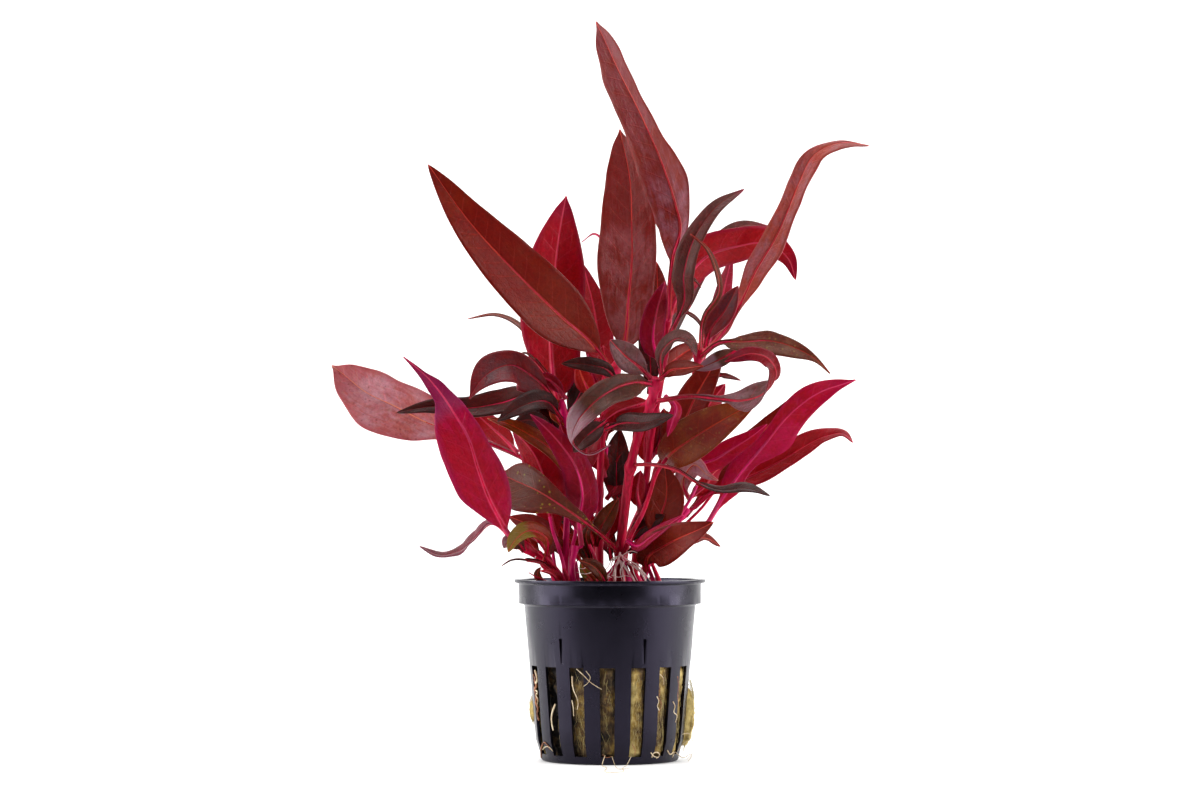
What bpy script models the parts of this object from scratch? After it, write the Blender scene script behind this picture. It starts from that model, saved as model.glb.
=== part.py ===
"""A bunch of Alternanthera reineckii, a red-leaved aquarium stem plant, rooted in rock wool in a net pot.

The origin is the middle of the pot's flat underside, +Z is up, and -Y is the side that the plant faces.
The tables give places in millimetres, and every mesh is in metres.
"""

import math
from collections import namedtuple

import bmesh
import bpy
from mathutils import Matrix, Vector

MM = 0.001
GAP = 0.3

# The pot: a standard 5 cm net pot, 55 mm across its rim.
RIM_RADIUS = 27.5
RIM_HEIGHT = 52.7
LIP = 1.0
LIP_SLOPE = 0.4
COLLAR_RADIUS = 26.6
COLLAR_FOOT = 45.6
COLLAR_STEP = 0.6
SHOULDER_RADIUS = 25.0
SHOULDER_HEIGHT = 45.0
KNEE_RADIUS = 21.6
KNEE_HEIGHT = 6.0
FOOT_RADIUS = 19.9
FOOT_HEIGHT = 0.9
BASE_RADIUS = 19.2
WALL = 0.9
FLOOR = 1.2
POT_STEPS = 48

# The windows between the pot's ribs, and the slits in its floor.
SLOTS = 16
FIRST_SLOT = math.radians(-2)
SLOT_TOP = 27.8
SLOT_FOOT = 2.2
SLOT_WIDTH_TOP = 4.5
SLOT_WIDTH_FOOT = 3.8
FLOOR_SLITS = 8
FLOOR_SLIT = (9.5, 2.4)
FLOOR_SLIT_MIDDLE = 11.8

# The short grooves above the windows, which keep stacked pots from jamming.
NOTCHES = 6
FIRST_NOTCH = math.radians(-36)
NOTCH_WIDTH = 1.0
NOTCH_FOOT = 28.9
NOTCH_TOP = 36.0
NOTCH_DEPTH = 0.45

# The rock wool, which shows in the windows and swells out through the one at each side. A swelling has its
# window's number, its height above the underside, and half its width, depth and height.
WOOL_TOP = 46.0
WOOL_STEPS = 32
WOOL_CLEARANCE = 0.36
WOOL_SHOULDER = (2.1, 2.0)
PAD_FOOT = 15.0
PAD_INSET = 0.55
PAD_CLEARANCE = 0.4
SWELLINGS = ((4, 13.5, (1.7, 3.2, 9.5)), (12, 14.6, (1.7, 2.2, 3.4)))
SWELL_INSET = 0.7

# The stems stand in pockets in the wool.
STEM_FOOT = 38.0
STEM_POINTS = 12
STEM_BEVEL_RESOLUTION = 2
STEM_PLACES = 200
POCKET_CLEARANCE = 0.6
POCKET_SIDES = 10

# The leaves: a short stalk, a broad middle and a long point, folded a little along the midrib.
LEAF_THICKNESS = 0.7
PETIOLE_WIDTH = 1.4
TIP_WIDTH = 0.5
LEAF_FOLD = 0.3
LEAF_ROW_LENGTH = 7.8
FEWEST_ROWS = 6
MOST_ROWS = 12
MIDRIB_PLACES = 96

# How many points a smooth curve gets between two of the given ones.
CURVE_POINTS = 16

# A stem's colour, its radius at the foot and at the tip, and the points that it passes, from the wool up.
Stem = namedtuple("Stem", "colour foot_radius tip_radius route")

STEMS = {
    "stem_main": Stem("stem_crimson", 1.6, 1.2, (
        (2.5, 0, 47.5), (3, -1, 60.5), (4.5, -4, 74.5), (6, -8, 85.5), (8.5, -10, 95.5), (11.5, -12, 102.5),
        (13.5, -14, 111))),
    "stem_tall": Stem("stem_crimson", 1.3, 0.8, (
        (6.5, 7, 47.5), (7.5, 7, 58), (10, 7, 76), (12.5, 5, 96.5), (15.5, 3, 113.5), (17, 2, 129))),
    "stem_centre": Stem("stem_crimson", 1.3, 0.9, (
        (-3, 3, 47.5), (-3, 3, 58.5), (-3, 1, 76), (-2, -1, 96.5), (0, -2, 108.5), (2.5, -1, 117))),
    "stem_left": Stem("stem_pink", 1.0, 0.8, (
        (-13, 4, 47.5), (-13, 3, 58.5), (-12.5, 3, 71.5), (-11.5, 3, 81.5), (-12.5, 4, 93.5),
        (-14.5, 5, 105.5))),
    "stem_leaning": Stem("stem_crimson", 1.3, 0.9, (
        (-14.5, -7, 47.5), (-16.5, -7, 54.5), (-19.5, -8, 58.5), (-23, -9.5, 61), (-26.5, -11, 63.5))),
    "stem_short": Stem("stem_pink", 0.9, 0.8, (
        (-9.5, -10, 47.5), (-11, -10, 55.5), (-10, -9, 62.5))),
    "stem_right": Stem("stem_pink", 1.0, 0.8, (
        (9, 2, 47.5), (10.5, 3, 56), (13.5, 4, 62), (17.5, 5, 67), (23, 5, 73.5))),
    "stem_slender": Stem("stem_crimson", 1.2, 0.8, (
        (3.5, 13, 47.5), (5, 13, 62.5), (10.5, 11, 76), (15, 9, 86), (19, 6.5, 94.5), (23, 4.5, 105.5),
        (25.5, 3, 114.5), (26.5, 2, 121.5))),
}

# A leaf grows from its stem at a height. Its width is at its broadest place, which lies that share of the
# way along. Its turns, in degrees and evenly spaced from root to tip, are 0 where the upper side faces
# forward, 90 where it faces up and 180 where the underside faces forward. The route is the midrib's, from the
# first point off the stem to the tip. The stalk is the share of the length that has no blade.
Leaf = namedtuple("Leaf", "colour stem height width broadest turn route stalk", defaults=(0.1,))

LEAVES = {
    "leaf_main_1": Leaf("leaf_olive", "stem_main", 61.5, 13, 0.72, (10, 10), (
        (-6, -14, 68.5), (-13, -16, 73.5), (-20, -16, 78), (-26.5, -10, 81), (-32, -5, 83.5)), 0.2),
    "leaf_main_2": Leaf("leaf_dusky", "stem_main", 86, 6.5, 0.8, (72, 68), (
        (12.5, -15, 86), (19, -21, 84.5), (25.5, -27, 80.5), (31.5, -31, 78.5), (38.5, -34, 79),
        (45, -36, 77)), 0.5),
    "leaf_main_3": Leaf("leaf_dusky", "stem_main", 104.5, 9, 0.45, (0, 0, 5, 20, 75, 150, 180, 185), (
        (23, -20, 105.5), (31.5, -26, 104.5), (38, -31, 104), (43.5, -35, 106), (46.5, -36, 110.5),
        (45.5, -32, 115), (40.5, -26, 117.5), (33, -21, 115.5)), 0.25),
    "leaf_main_4": Leaf("leaf_dusky", "stem_main", 109, 9, 0.4, (5, 5, 10, 25, 60, 100, 110), (
        (7.5, -22, 109.5), (0.5, -29, 107), (-5.5, -33, 102.5), (-9.5, -33, 97.5), (-10.5, -29, 92),
        (-6.5, -26, 89), (0, -24, 91.5))),
    "leaf_main_5": Leaf("leaf_dusky", "stem_main", 112, 8, 0.55, (10, 10), (
        (8.5, -17, 114), (4.5, -21, 117), (0, -25, 121.5))),
    "leaf_main_6": Leaf("leaf_brick", "stem_main", 110.5, 5, 0.5, (30, 30), (
        (17.5, -20, 113), (22, -24, 113.5), (26.5, -27, 114))),
    "leaf_main_7": Leaf("leaf_dusky", "stem_main", 110.5, 6, 0.5, (50, 50), (
        (15, -13, 118.5), (18.5, -16, 122), (22.5, -22, 121), (24.5, -27, 116.5))),
    "leaf_tall_1": Leaf("leaf_brick", "stem_tall", 129, 16.5, 0.4, (-10, -25, -30, -35, -35), (
        (17.5, -1, 137.5), (18.5, -6, 146.5), (20.5, -10, 155), (19, -12, 161.5), (15, -13, 173.5),
        (9, -11, 187.5), (2, -7, 202), (-4, -2, 216))),
    "leaf_tall_2": Leaf("leaf_crimson", "stem_tall", 124.5, 11.5, 0.5, (150, 165), (
        (18.5, 9, 132.5), (22, 12, 140), (28.5, 15, 148), (37.5, 19, 151.5), (47.5, 22, 152.5),
        (53.5, 24, 148.5), (56, 26, 142))),
    "leaf_tall_3": Leaf("leaf_dusky", "stem_tall", 124, 7, 0.4, (30, 20), (
        (21.5, -5, 133), (21.5, -15, 142), (24, -18, 150.5), (29.5, -18, 159), (39, -12, 166))),
    "leaf_tall_4": Leaf("leaf_magenta", "stem_tall", 115, 8, 0.45, (160, 160), (
        (12.5, -4, 122.5), (13.5, -5, 130.5), (16, -5, 139.5))),
    "leaf_tall_5": Leaf("leaf_brick", "stem_tall", 122.5, 7, 0.5, (20, 20), (
        (14.5, 14, 135), (14, 20, 147))),
    "leaf_tall_6": Leaf("leaf_dusky", "stem_tall", 119, 7, 0.5, (20, 30), (
        (22.5, 26, 136), (31, 34, 151.5), (41, 40, 159.5), (49.5, 44, 159.5))),
    "leaf_centre_1": Leaf("leaf_brick", "stem_centre", 115.5, 18.5, 0.48, (-4, 8), (
        (4.5, 4, 123), (5.5, 7, 135), (6.5, 9, 146), (6.5, 11, 157), (6, 14, 171), (3, 18, 186.5))),
    "leaf_centre_2": Leaf("leaf_brick", "stem_centre", 114, 17.5, 0.36, (5, 10), (
        (-5, -10, 121), (-15, -17, 129.5), (-26, -22, 140), (-40, -27, 155), (-52, -28, 171.5))),
    "leaf_centre_3": Leaf("leaf_crimson", "stem_centre", 105, 9, 0.5, (180, 170), (
        (-3, 14, 120), (-4.5, 22, 132.5), (-8, 30, 147))),
    "leaf_centre_4": Leaf("leaf_magenta", "stem_centre", 113.5, 5, 0.6, (110, 80), (
        (2.5, 16, 132.5), (-1, 26, 151), (-4.5, 30, 156), (-8.5, 34, 154))),
    "leaf_centre_5": Leaf("leaf_dusky", "stem_centre", 96.5, 6, 0.55, (30, 25), (
        (3.5, -12, 98), (10.5, -20, 98), (18, -27, 100))),
    "leaf_centre_6": Leaf("leaf_crimson", "stem_centre", 99.5, 9, 0.5, (20, 20), (
        (-6, -5, 95), (-7, -7, 89), (-7.5, -7, 83))),
    "leaf_left_1": Leaf("leaf_crimson", "stem_left", 104.5, 19, 0.5, (176, 184), (
        (-17, 8, 115), (-17.5, 10, 127.5), (-16.5, 12, 141), (-15, 14, 154.5), (-13, 18, 166.5))),
    "leaf_left_2": Leaf("leaf_dusky", "stem_left", 103, 11, 0.5, (25, 15), (
        (-18.5, 1, 108), (-23.5, -4, 112.5), (-28.5, -8, 115), (-33.5, -12, 113.5), (-37.5, -15, 110),
        (-40.5, -16, 105))),
    "leaf_left_3": Leaf("leaf_dusky", "stem_left", 101, 8, 0.35, (25, 25), (
        (-23.5, 9, 106.5), (-32.5, 12, 104.5), (-42, 11, 103), (-51.5, 9, 103.5), (-63, 6, 101.5))),
    "leaf_left_4": Leaf("leaf_dusky", "stem_left", 99.5, 7, 0.5, (40, 20), (
        (-18.5, -5, 104.5), (-25.5, -12, 103), (-32.5, -16, 98.5))),
    "leaf_left_5": Leaf("leaf_mauve", "stem_left", 83.5, 19, 0.72, (8, 0), (
        (-21, 18, 86), (-30.5, 22, 90.5), (-40.5, 24, 94.5), (-53.5, 26, 98.5), (-64.5, 28, 104),
        (-74.5, 30, 109), (-80, 31, 113.5), (-84, 32, 116.5))),
    "leaf_left_6": Leaf("leaf_olive", "stem_left", 80.5, 5.5, 0.5, (30, 30), (
        (-12.5, -5, 84.5), (-17, -8, 90.5), (-23, -11, 94.5), (-30, -12, 98), (-35.5, -11, 99.5))),
    "leaf_left_7": Leaf("leaf_crimson", "stem_left", 61, 11, 0.5, (180, 180), (
        (-17.5, 1, 71.5), (-18.5, -2, 79.5), (-22, -1, 89), (-28.5, 3, 96.5))),
    "leaf_left_8": Leaf("leaf_dusky", "stem_left", 100, 10, 0.5, (30, 20), (
        (-18, 20, 123.5), (-23, 28, 142), (-29, 32, 156))),
    "leaf_left_9": Leaf("leaf_olive", "stem_left", 96, 3, 0.5, (60, 50), (
        (-21.5, 30, 119.5), (-27.5, 38, 129), (-35, 44, 132.5), (-43.5, 48, 131.5))),
    "leaf_leaning_1": Leaf("leaf_crimson", "stem_leaning", 62.5, 16, 0.42, (180, 180, 182, 186), (
        (-29.5, -18, 66.5), (-31.5, -19.5, 70), (-35, -21, 77), (-38, -23, 85.5),
        (-40.5, -24.5, 93.5), (-44.5, -25, 100.5), (-47.5, -22.5, 105), (-52, -20, 110.5),
        (-59.5, -16, 117))),
    "leaf_leaning_2": Leaf("leaf_crimson", "stem_leaning", 63.5, 6.5, 0.7, (74, 70), (
        (-35, 2, 69), (-40, 10, 64.5), (-45, 17, 60.5), (-51.5, 22, 59.5), (-57, 25, 62))),
    "leaf_leaning_3": Leaf("leaf_olive", "stem_leaning", 58.5, 6, 0.6, (40, 30), (
        (-18, -13, 64), (-22.5, -18, 67), (-27, -24, 64.5), (-29, -28, 61))),
    "leaf_leaning_4": Leaf("leaf_brick", "stem_leaning", 57.5, 7.5, 0.5, (30, 30), (
        (-18.5, -3, 64.5), (-22.5, -3, 68), (-29.5, -2, 71))),
    "leaf_short_1": Leaf("leaf_magenta", "stem_short", 62.5, 9.5, 0.3, (180, 186), (
        (-9, -9, 69.5), (-8, -12, 77.5), (-10, -14, 85.5), (-14, -15, 91.5), (-18.5, -15, 96.5),
        (-23, -14, 100.5))),
    "leaf_right_1": Leaf("leaf_brick", "stem_right", 55, 10.5, 0.5, (-10, 10), (
        (11, -8, 59.5), (15.5, -15, 62.5), (21, -21, 65.5), (25.5, -24, 67.5), (29.5, -25, 69.5))),
    "leaf_right_2": Leaf("leaf_brick", "stem_right", 57.5, 5, 0.55, (60, 50), (
        (24, 12, 63.5), (28.5, 16, 64.5), (33, 19, 62))),
    "leaf_right_3": Leaf("leaf_brick", "stem_right", 62.5, 11.5, 0.5, (0, 10), (
        (14.5, 0, 69.5), (16.5, 0, 76.5), (16, -2, 86))),
    "leaf_right_4": Leaf("leaf_magenta", "stem_right", 60.5, 9, 0.62, (180, 184), (
        (24.5, 2, 64.5), (28.5, 1, 69), (33, 0, 76.5), (38, -3, 83.5), (45, -8, 92), (52, -12, 100.5),
        (59, -14, 106), (71, -13, 110.5))),
    "leaf_right_5": Leaf("leaf_crimson", "stem_right", 73.5, 9, 0.5, (20, 50), (
        (30, 6, 78), (37, 6, 81), (44, 5, 84), (51.5, 3, 88), (57, 1, 91.5), (63, -2, 94.5),
        (68, -5, 95), (70.5, -8, 92.5))),
    "leaf_right_6": Leaf("leaf_magenta", "stem_slender", 84.5, 6.5, 0.5, (180, 170), (
        (22, 5, 86), (30, 2, 87.5), (36, 0, 91), (41.5, -1, 94.5), (46, -1, 98))),
    "leaf_right_7": Leaf("leaf_brick", "stem_right", 71, 7, 0.55, (20, 20), (
        (28.5, 11, 78.5), (33, 12, 85), (41, 12, 92), (48, 10, 99), (53, 8, 105.5))),
    "leaf_slender_1": Leaf("leaf_olive", "stem_slender", 86, 12.5, 0.5, (5, 5), (
        (18, -6, 89.5), (26, -14, 95), (33.5, -19, 99.5), (42, -22, 104))),
    "leaf_slender_2": Leaf("leaf_brick", "stem_slender", 89, 10, 0.45, (10, 10), (
        (21.5, -2, 98), (25, -4, 106), (29, -4, 113), (33, -1, 119.5))),
    "leaf_slender_3": Leaf("leaf_olive", "stem_slender", 118, 8, 0.5, (20, 20), (
        (32.5, -9, 121.5), (39, -14, 121.5), (46.5, -18, 121.5), (54, -21, 119), (59, -22, 116),
        (63, -22, 112))),
    "leaf_slender_4": Leaf("leaf_brick", "stem_slender", 119, 9.5, 0.38, (15, 50), (
        (33, 8, 124.5), (38, 10, 132.5), (43.5, 13, 144), (49.5, 14, 154), (53.5, 14, 163),
        (56.5, 13, 170.5), (61, 12, 178.5), (68, 10, 181.5), (76.5, 7, 180.5))),
    "leaf_slender_5": Leaf("leaf_dusky", "stem_slender", 121, 7, 0.5, (10, 20), (
        (29.5, 1, 125.5), (33.5, 0, 131), (37.5, -2, 138.5))),
    "leaf_slender_6": Leaf("leaf_olive", "stem_slender", 120, 3, 0.5, (50, 50), (
        (27.5, -12, 129.5), (31.5, -16, 136), (30.5, -19, 142), (28, -21, 147.5), (23, -23, 152))),
    "leaf_slender_7": Leaf("leaf_magenta", "stem_slender", 114.5, 5.5, 0.5, (180, 180), (
        (33, 16, 134), (35, 23, 142), (37, 29, 149.5))),
    "leaf_slender_8": Leaf("leaf_crimson", "stem_slender", 93.5, 7, 0.6, (180, 180), (
        (24.5, 12, 98), (28.5, 16, 103), (34.5, 20, 110.5))),
}

# The outlines of the biggest leaves: the blade's width on each side of the midrib, evenly spaced from root to
# tip.
OUTLINES = {
    "leaf_tall_1": (
        (0.7, 0.7, 0.7, 1.4, 5.6, 6.8, 7, 7.5, 7.6, 7.2, 6.6, 6.2, 6, 5.6, 4.2, 2.7, 0.2),
        (0.7, 0.7, 0.7, 0.5, 1.2, 3.2, 5.4, 7.2, 5.9, 4.2, 3.8, 3.7, 3.9, 4, 3.9, 2.9, 0.2)),
    "leaf_centre_1": (
        (0.7, 0.7, 4, 6, 7.4, 8.8, 9.9, 10.2, 9.9, 9.3, 8.9, 8.3, 7.6, 6.7, 5, 3.1, 0.2),
        (0.7, 0.7, 4.3, 5.7, 6.7, 7.1, 7.1, 7.2, 7.3, 7.2, 7, 6.4, 5.6, 4.5, 3.6, 2.3, 0.2)),
    "leaf_left_5": (
        (0.7, 0.7, 0.7, 0.7, 0.7, 0.7, 1, 1.6, 2.7, 4, 7, 8.9, 9.9, 9.7, 7, 4.8, 0.2),
        (0.7, 0.7, 0.7, 0.7, 0.7, 0.7, 1, 1.6, 2.4, 6, 7.7, 7.9, 7.4, 7.8, 6.9, 4.2, 0.2)),
    "leaf_leaning_1": (
        (0.7, 0.7, 0.8, 4.1, 6.1, 7, 7, 6.2, 5, 4.5, 4, 3.7, 2.8, 2.2, 0.8, 0.5, 0.2),
        (0.7, 0.7, 0.8, 2.9, 5.2, 7.7, 8.4, 8.8, 9.2, 8.8, 7.7, 5.7, 3, 2.4, 1.6, 0.8, 0.2)),
    "leaf_main_1": (
        (0.7, 0.7, 0.7, 0.7, 1.1, 1.1, 1.5, 2, 2.9, 4.5, 7, 8.4, 8.4, 7.6, 6, 3.7, 0.2),
        (0.7, 0.7, 0.7, 0.7, 0.9, 1.2, 1.9, 2.1, 2.6, 3.2, 3.9, 4.8, 5.4, 5.6, 5.2, 3.5, 0.2)),
    "leaf_right_4": (
        (0.7, 0.7, 0.7, 0.7, 0.8, 1.8, 3.1, 2.1, 2.4, 4.4, 6.2, 5.5, 4.7, 4, 3, 1.3, 0.2),
        (0.7, 0.7, 0.7, 0.7, 1, 1.2, 3.1, 4.1, 3.4, 2.7, 2.4, 2.8, 3.6, 3.8, 3.1, 1.9, 0.2)),
    "leaf_slender_3": (
        (0.7, 0.7, 0.7, 0.7, 0.7, 1.1, 1.8, 2.2, 2.5, 2.9, 2.5, 2.2, 1.9, 1.5, 0.9, 0.5, 0.2),
        (0.7, 0.7, 0.7, 0.7, 0.7, 2.1, 2.9, 3.1, 3.7, 4.3, 4.5, 4.2, 3.6, 2.5, 1.1, 0.5, 0.2)),
    "leaf_slender_4": (
        (0.7, 0.7, 0.7, 1.4, 2.1, 2.8, 3.7, 3.9, 4, 3.7, 3.4, 3.4, 3.2, 2.4, 1.5, 0.7, 0.2),
        (0.7, 0.7, 1.4, 1.1, 1.7, 3.4, 4.5, 4.9, 4.1, 3.6, 3.8, 4.2, 5, 5, 4.3, 3.2, 0.2)),
    "leaf_main_3": (
        (0.7, 0.7, 0.7, 0.7, 1.2, 1.2, 2, 3.2, 4.5, 4.6, 3.5, 2.5, 2.5, 2.2, 2, 1.6, 0.2),
        (0.7, 0.7, 0.7, 0.7, 1.2, 1.1, 1.3, 3.1, 5, 4.6, 3.8, 2.5, 2.2, 2, 2, 1.5, 0.2)),
    "leaf_main_4": (
        (0.7, 1.6, 3.1, 4, 4.6, 4.7, 4.1, 4.2, 4.5, 4.6, 4, 3, 1.6, 1.2, 0.9, 0.7, 0.2),
        (0.7, 1.2, 2.2, 2.6, 3.4, 3.5, 4, 4.2, 4, 3.9, 3.4, 2.6, 1.6, 1.2, 0.9, 0.7, 0.2)),
}

# Linear colours with their roughness.
FINISHES = {
    "pot_black": ((0.008, 0.008, 0.010, 1), 0.35),
    "wool_ochre": ((0.27, 0.17, 0.05, 1), 0.95),
    "stem_crimson": ((0.47, 0.02, 0.06, 1), 0.35),
    "stem_pink": ((0.62, 0.02, 0.14, 1), 0.35),
    "leaf_brick": ((0.20, 0.030, 0.025, 1), 0.4),
    "leaf_crimson": ((0.33, 0.010, 0.035, 1), 0.4),
    "leaf_magenta": ((0.40, 0.010, 0.110, 1), 0.4),
    "leaf_mauve": ((0.33, 0.100, 0.130, 1), 0.45),
    "leaf_dusky": ((0.07, 0.022, 0.025, 1), 0.45),
    "leaf_olive": ((0.13, 0.055, 0.015, 1), 0.45),
}


def clear_scene():
    for obj in list(bpy.data.objects):
        bpy.data.objects.remove(obj, do_unlink=True)


def new_collection(name):
    collection = bpy.data.collections.new(name)
    bpy.context.scene.collection.children.link(collection)
    return collection


def new_material(name):
    colour, roughness = FINISHES[name]
    material = bpy.data.materials.new(name)
    material.use_nodes = True
    shader = material.node_tree.nodes["Principled BSDF"]
    shader.inputs["Base Color"].default_value = colour
    shader.inputs["Roughness"].default_value = roughness
    shader.inputs["Metallic"].default_value = 0.0
    material.diffuse_color = colour
    return material


def new_object(name, data, collection, material=None):
    obj = bpy.data.objects.new(name, data)
    collection.objects.link(obj)
    if material:
        data.materials.append(material)
    return obj


def mesh_from(name, shape):
    """The bmesh in millimetres as a mesh in metres."""
    bmesh.ops.scale(shape, vec=(MM, MM, MM), verts=shape.verts)
    bmesh.ops.recalc_face_normals(shape, faces=shape.faces)
    mesh = bpy.data.meshes.new(name)
    shape.to_mesh(mesh)
    shape.free()
    return mesh


def turned(name, profile, steps, collection, material):
    """A solid of revolution. The profile goes over the top and down the outer side."""
    mesh = bpy.data.meshes.new(name)
    edges = [(i, i + 1) for i in range(len(profile) - 1)]
    mesh.from_pydata([(r * MM, 0, z * MM) for r, z in profile], edges, [])
    obj = new_object(name, mesh, collection, material)
    screw = obj.modifiers.new("turn", "SCREW")
    screw.steps = steps
    screw.render_steps = steps
    screw.use_merge_vertices = True
    screw.merge_threshold = 0.00001
    return obj


def boolean(obj, other, operation):
    modifier = obj.modifiers.new(other.name, "BOOLEAN")
    modifier.operation = operation
    modifier.solver = "EXACT"
    modifier.object = other


def as_helper(obj):
    obj.hide_render = True
    obj.display_type = "WIRE"


def wall_radius(height):
    """The pot's outer radius at a height between its foot and its collar."""
    if height < KNEE_HEIGHT:
        share = (height - FOOT_HEIGHT) / (KNEE_HEIGHT - FOOT_HEIGHT)
        return FOOT_RADIUS + share * (KNEE_RADIUS - FOOT_RADIUS)
    share = (height - KNEE_HEIGHT) / (SHOULDER_HEIGHT - KNEE_HEIGHT)
    return KNEE_RADIUS + share * (SHOULDER_RADIUS - KNEE_RADIUS)


def add_block(shape, angle, middle, size, taper=1.0, lean=0.0):
    """A box on a radius of the pot. Angle 0 is the front; taper narrows its foot, lean draws its foot in."""
    made = bmesh.ops.create_cube(shape, size=1.0)["verts"]
    radius, height = middle
    depth, width, tall = size
    for vert in made:
        at_foot = vert.co.z < 0
        across = vert.co.x * width * (taper if at_foot else 1.0)
        out = radius + vert.co.y * depth - (lean if at_foot and vert.co.y > 0 else 0.0)
        vert.co = Vector((across, -out, height + vert.co.z * tall))
    bmesh.ops.rotate(shape, verts=made, matrix=Matrix.Rotation(angle, 3, "Z"))


def slot_angle(index):
    return FIRST_SLOT + index * 2 * math.pi / SLOTS


def pot_cutter(collection):
    """The windows in the wall, the slits in the floor and the stacking notches."""
    shape = bmesh.new()
    middle = (SLOT_TOP + SLOT_FOOT) / 2
    for index in range(SLOTS):
        size = (14, SLOT_WIDTH_TOP, SLOT_TOP - SLOT_FOOT)
        add_block(shape, slot_angle(index), (23, middle), size, SLOT_WIDTH_FOOT / SLOT_WIDTH_TOP)
    for index in range(FLOOR_SLITS):
        angle = 2 * math.pi * (index + 0.5) / FLOOR_SLITS
        add_block(shape, angle, (FLOOR_SLIT_MIDDLE, 0), (*FLOOR_SLIT, 4 * FLOOR))
    for index in range(NOTCHES):
        height = (NOTCH_FOOT + NOTCH_TOP) / 2
        radius = wall_radius(height) + 1 - NOTCH_DEPTH
        add_block(shape, FIRST_NOTCH + index * 2 * math.pi / NOTCHES, (radius, height),
                  (2, NOTCH_WIDTH, NOTCH_TOP - NOTCH_FOOT))
    cutter = new_object("pot_cutter", mesh_from("pot_cutter", shape), collection)
    as_helper(cutter)
    return cutter


def make_pot(parts, cutters):
    inner_foot = (wall_radius(FLOOR) - WALL, FLOOR)
    profile = (
        (0, FLOOR),
        inner_foot,
        (KNEE_RADIUS - WALL, KNEE_HEIGHT),
        (SHOULDER_RADIUS - WALL, SHOULDER_HEIGHT),
        (COLLAR_RADIUS - WALL, COLLAR_FOOT + COLLAR_STEP),
        (COLLAR_RADIUS - WALL, RIM_HEIGHT),
        (RIM_RADIUS, RIM_HEIGHT),
        (RIM_RADIUS, RIM_HEIGHT - LIP),
        (COLLAR_RADIUS, RIM_HEIGHT - LIP - LIP_SLOPE),
        (COLLAR_RADIUS, COLLAR_FOOT),
        (SHOULDER_RADIUS, SHOULDER_HEIGHT),
        (KNEE_RADIUS, KNEE_HEIGHT),
        (FOOT_RADIUS, FOOT_HEIGHT),
        (BASE_RADIUS, 0),
        (0, 0),
    )
    pot = turned("pot", profile, POT_STEPS, parts, new_material("pot_black"))
    boolean(pot, pot_cutter(cutters), "DIFFERENCE")


def wool_pads(collection):
    """The wool that shows in the windows, a little behind the ribs."""
    shape = bmesh.new()
    top = SLOT_TOP - 2 * PAD_CLEARANCE
    foot = SLOT_FOOT + 2 * PAD_CLEARANCE
    width = SLOT_WIDTH_TOP - 2 * PAD_CLEARANCE
    narrow = (SLOT_WIDTH_FOOT - 2 * PAD_CLEARANCE) / width
    depth = wall_radius(top) - PAD_INSET - PAD_FOOT
    lean = wall_radius(top) - wall_radius(foot)
    for index in range(SLOTS):
        middle = (PAD_FOOT + depth / 2, (top + foot) / 2)
        add_block(shape, slot_angle(index), middle, (depth, width, top - foot), narrow, lean)
    pads = new_object("wool_pads", mesh_from("wool_pads", shape), collection)
    as_helper(pads)
    return pads


def wool_swellings(collection):
    """The lumps of wool that swell out through the windows, past the wall."""
    shape = bmesh.new()
    for index, height, size in SWELLINGS:
        made = bmesh.ops.create_uvsphere(shape, u_segments=10, v_segments=8, radius=1.0)["verts"]
        bmesh.ops.scale(shape, vec=size, verts=made)
        bmesh.ops.translate(shape, vec=(0, SWELL_INSET - wall_radius(height), height), verts=made)
        bmesh.ops.rotate(shape, verts=made, matrix=Matrix.Rotation(slot_angle(index), 3, "Z"))
    swellings = new_object("wool_swellings", mesh_from("wool_swellings", shape), collection)
    as_helper(swellings)
    return swellings


def stem_pockets(collection):
    shape = bmesh.new()
    tall = WOOL_TOP - STEM_FOOT + GAP + 4
    for stem in STEMS.values():
        radius = stem.foot_radius + POCKET_CLEARANCE
        made = bmesh.ops.create_cone(
            shape, cap_ends=True, segments=POCKET_SIDES, radius1=radius, radius2=radius, depth=tall)["verts"]
        x, y, _ = stem.route[0]
        bmesh.ops.translate(shape, vec=(x, y, STEM_FOOT - GAP + tall / 2), verts=made)
    pockets = new_object("stem_pockets", mesh_from("stem_pockets", shape), collection)
    as_helper(pockets)
    return pockets


def make_wool(parts, cutters):
    inside = WALL + WOOL_CLEARANCE
    foot = FLOOR + GAP
    width, drop = WOOL_SHOULDER
    edge = wall_radius(WOOL_TOP - drop) - inside - GAP
    profile = (
        (0, WOOL_TOP),
        (edge - width, WOOL_TOP),
        (edge, WOOL_TOP - drop),
        (wall_radius(SLOT_TOP) - inside, SLOT_TOP),
        (KNEE_RADIUS - inside, KNEE_HEIGHT),
        (wall_radius(foot) - inside, foot),
        (0, foot),
    )
    wool = turned("rock_wool", profile, WOOL_STEPS, parts, new_material("wool_ochre"))
    boolean(wool, wool_pads(cutters), "UNION")
    boolean(wool, wool_swellings(cutters), "UNION")
    boolean(wool, stem_pockets(cutters), "DIFFERENCE")


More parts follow.
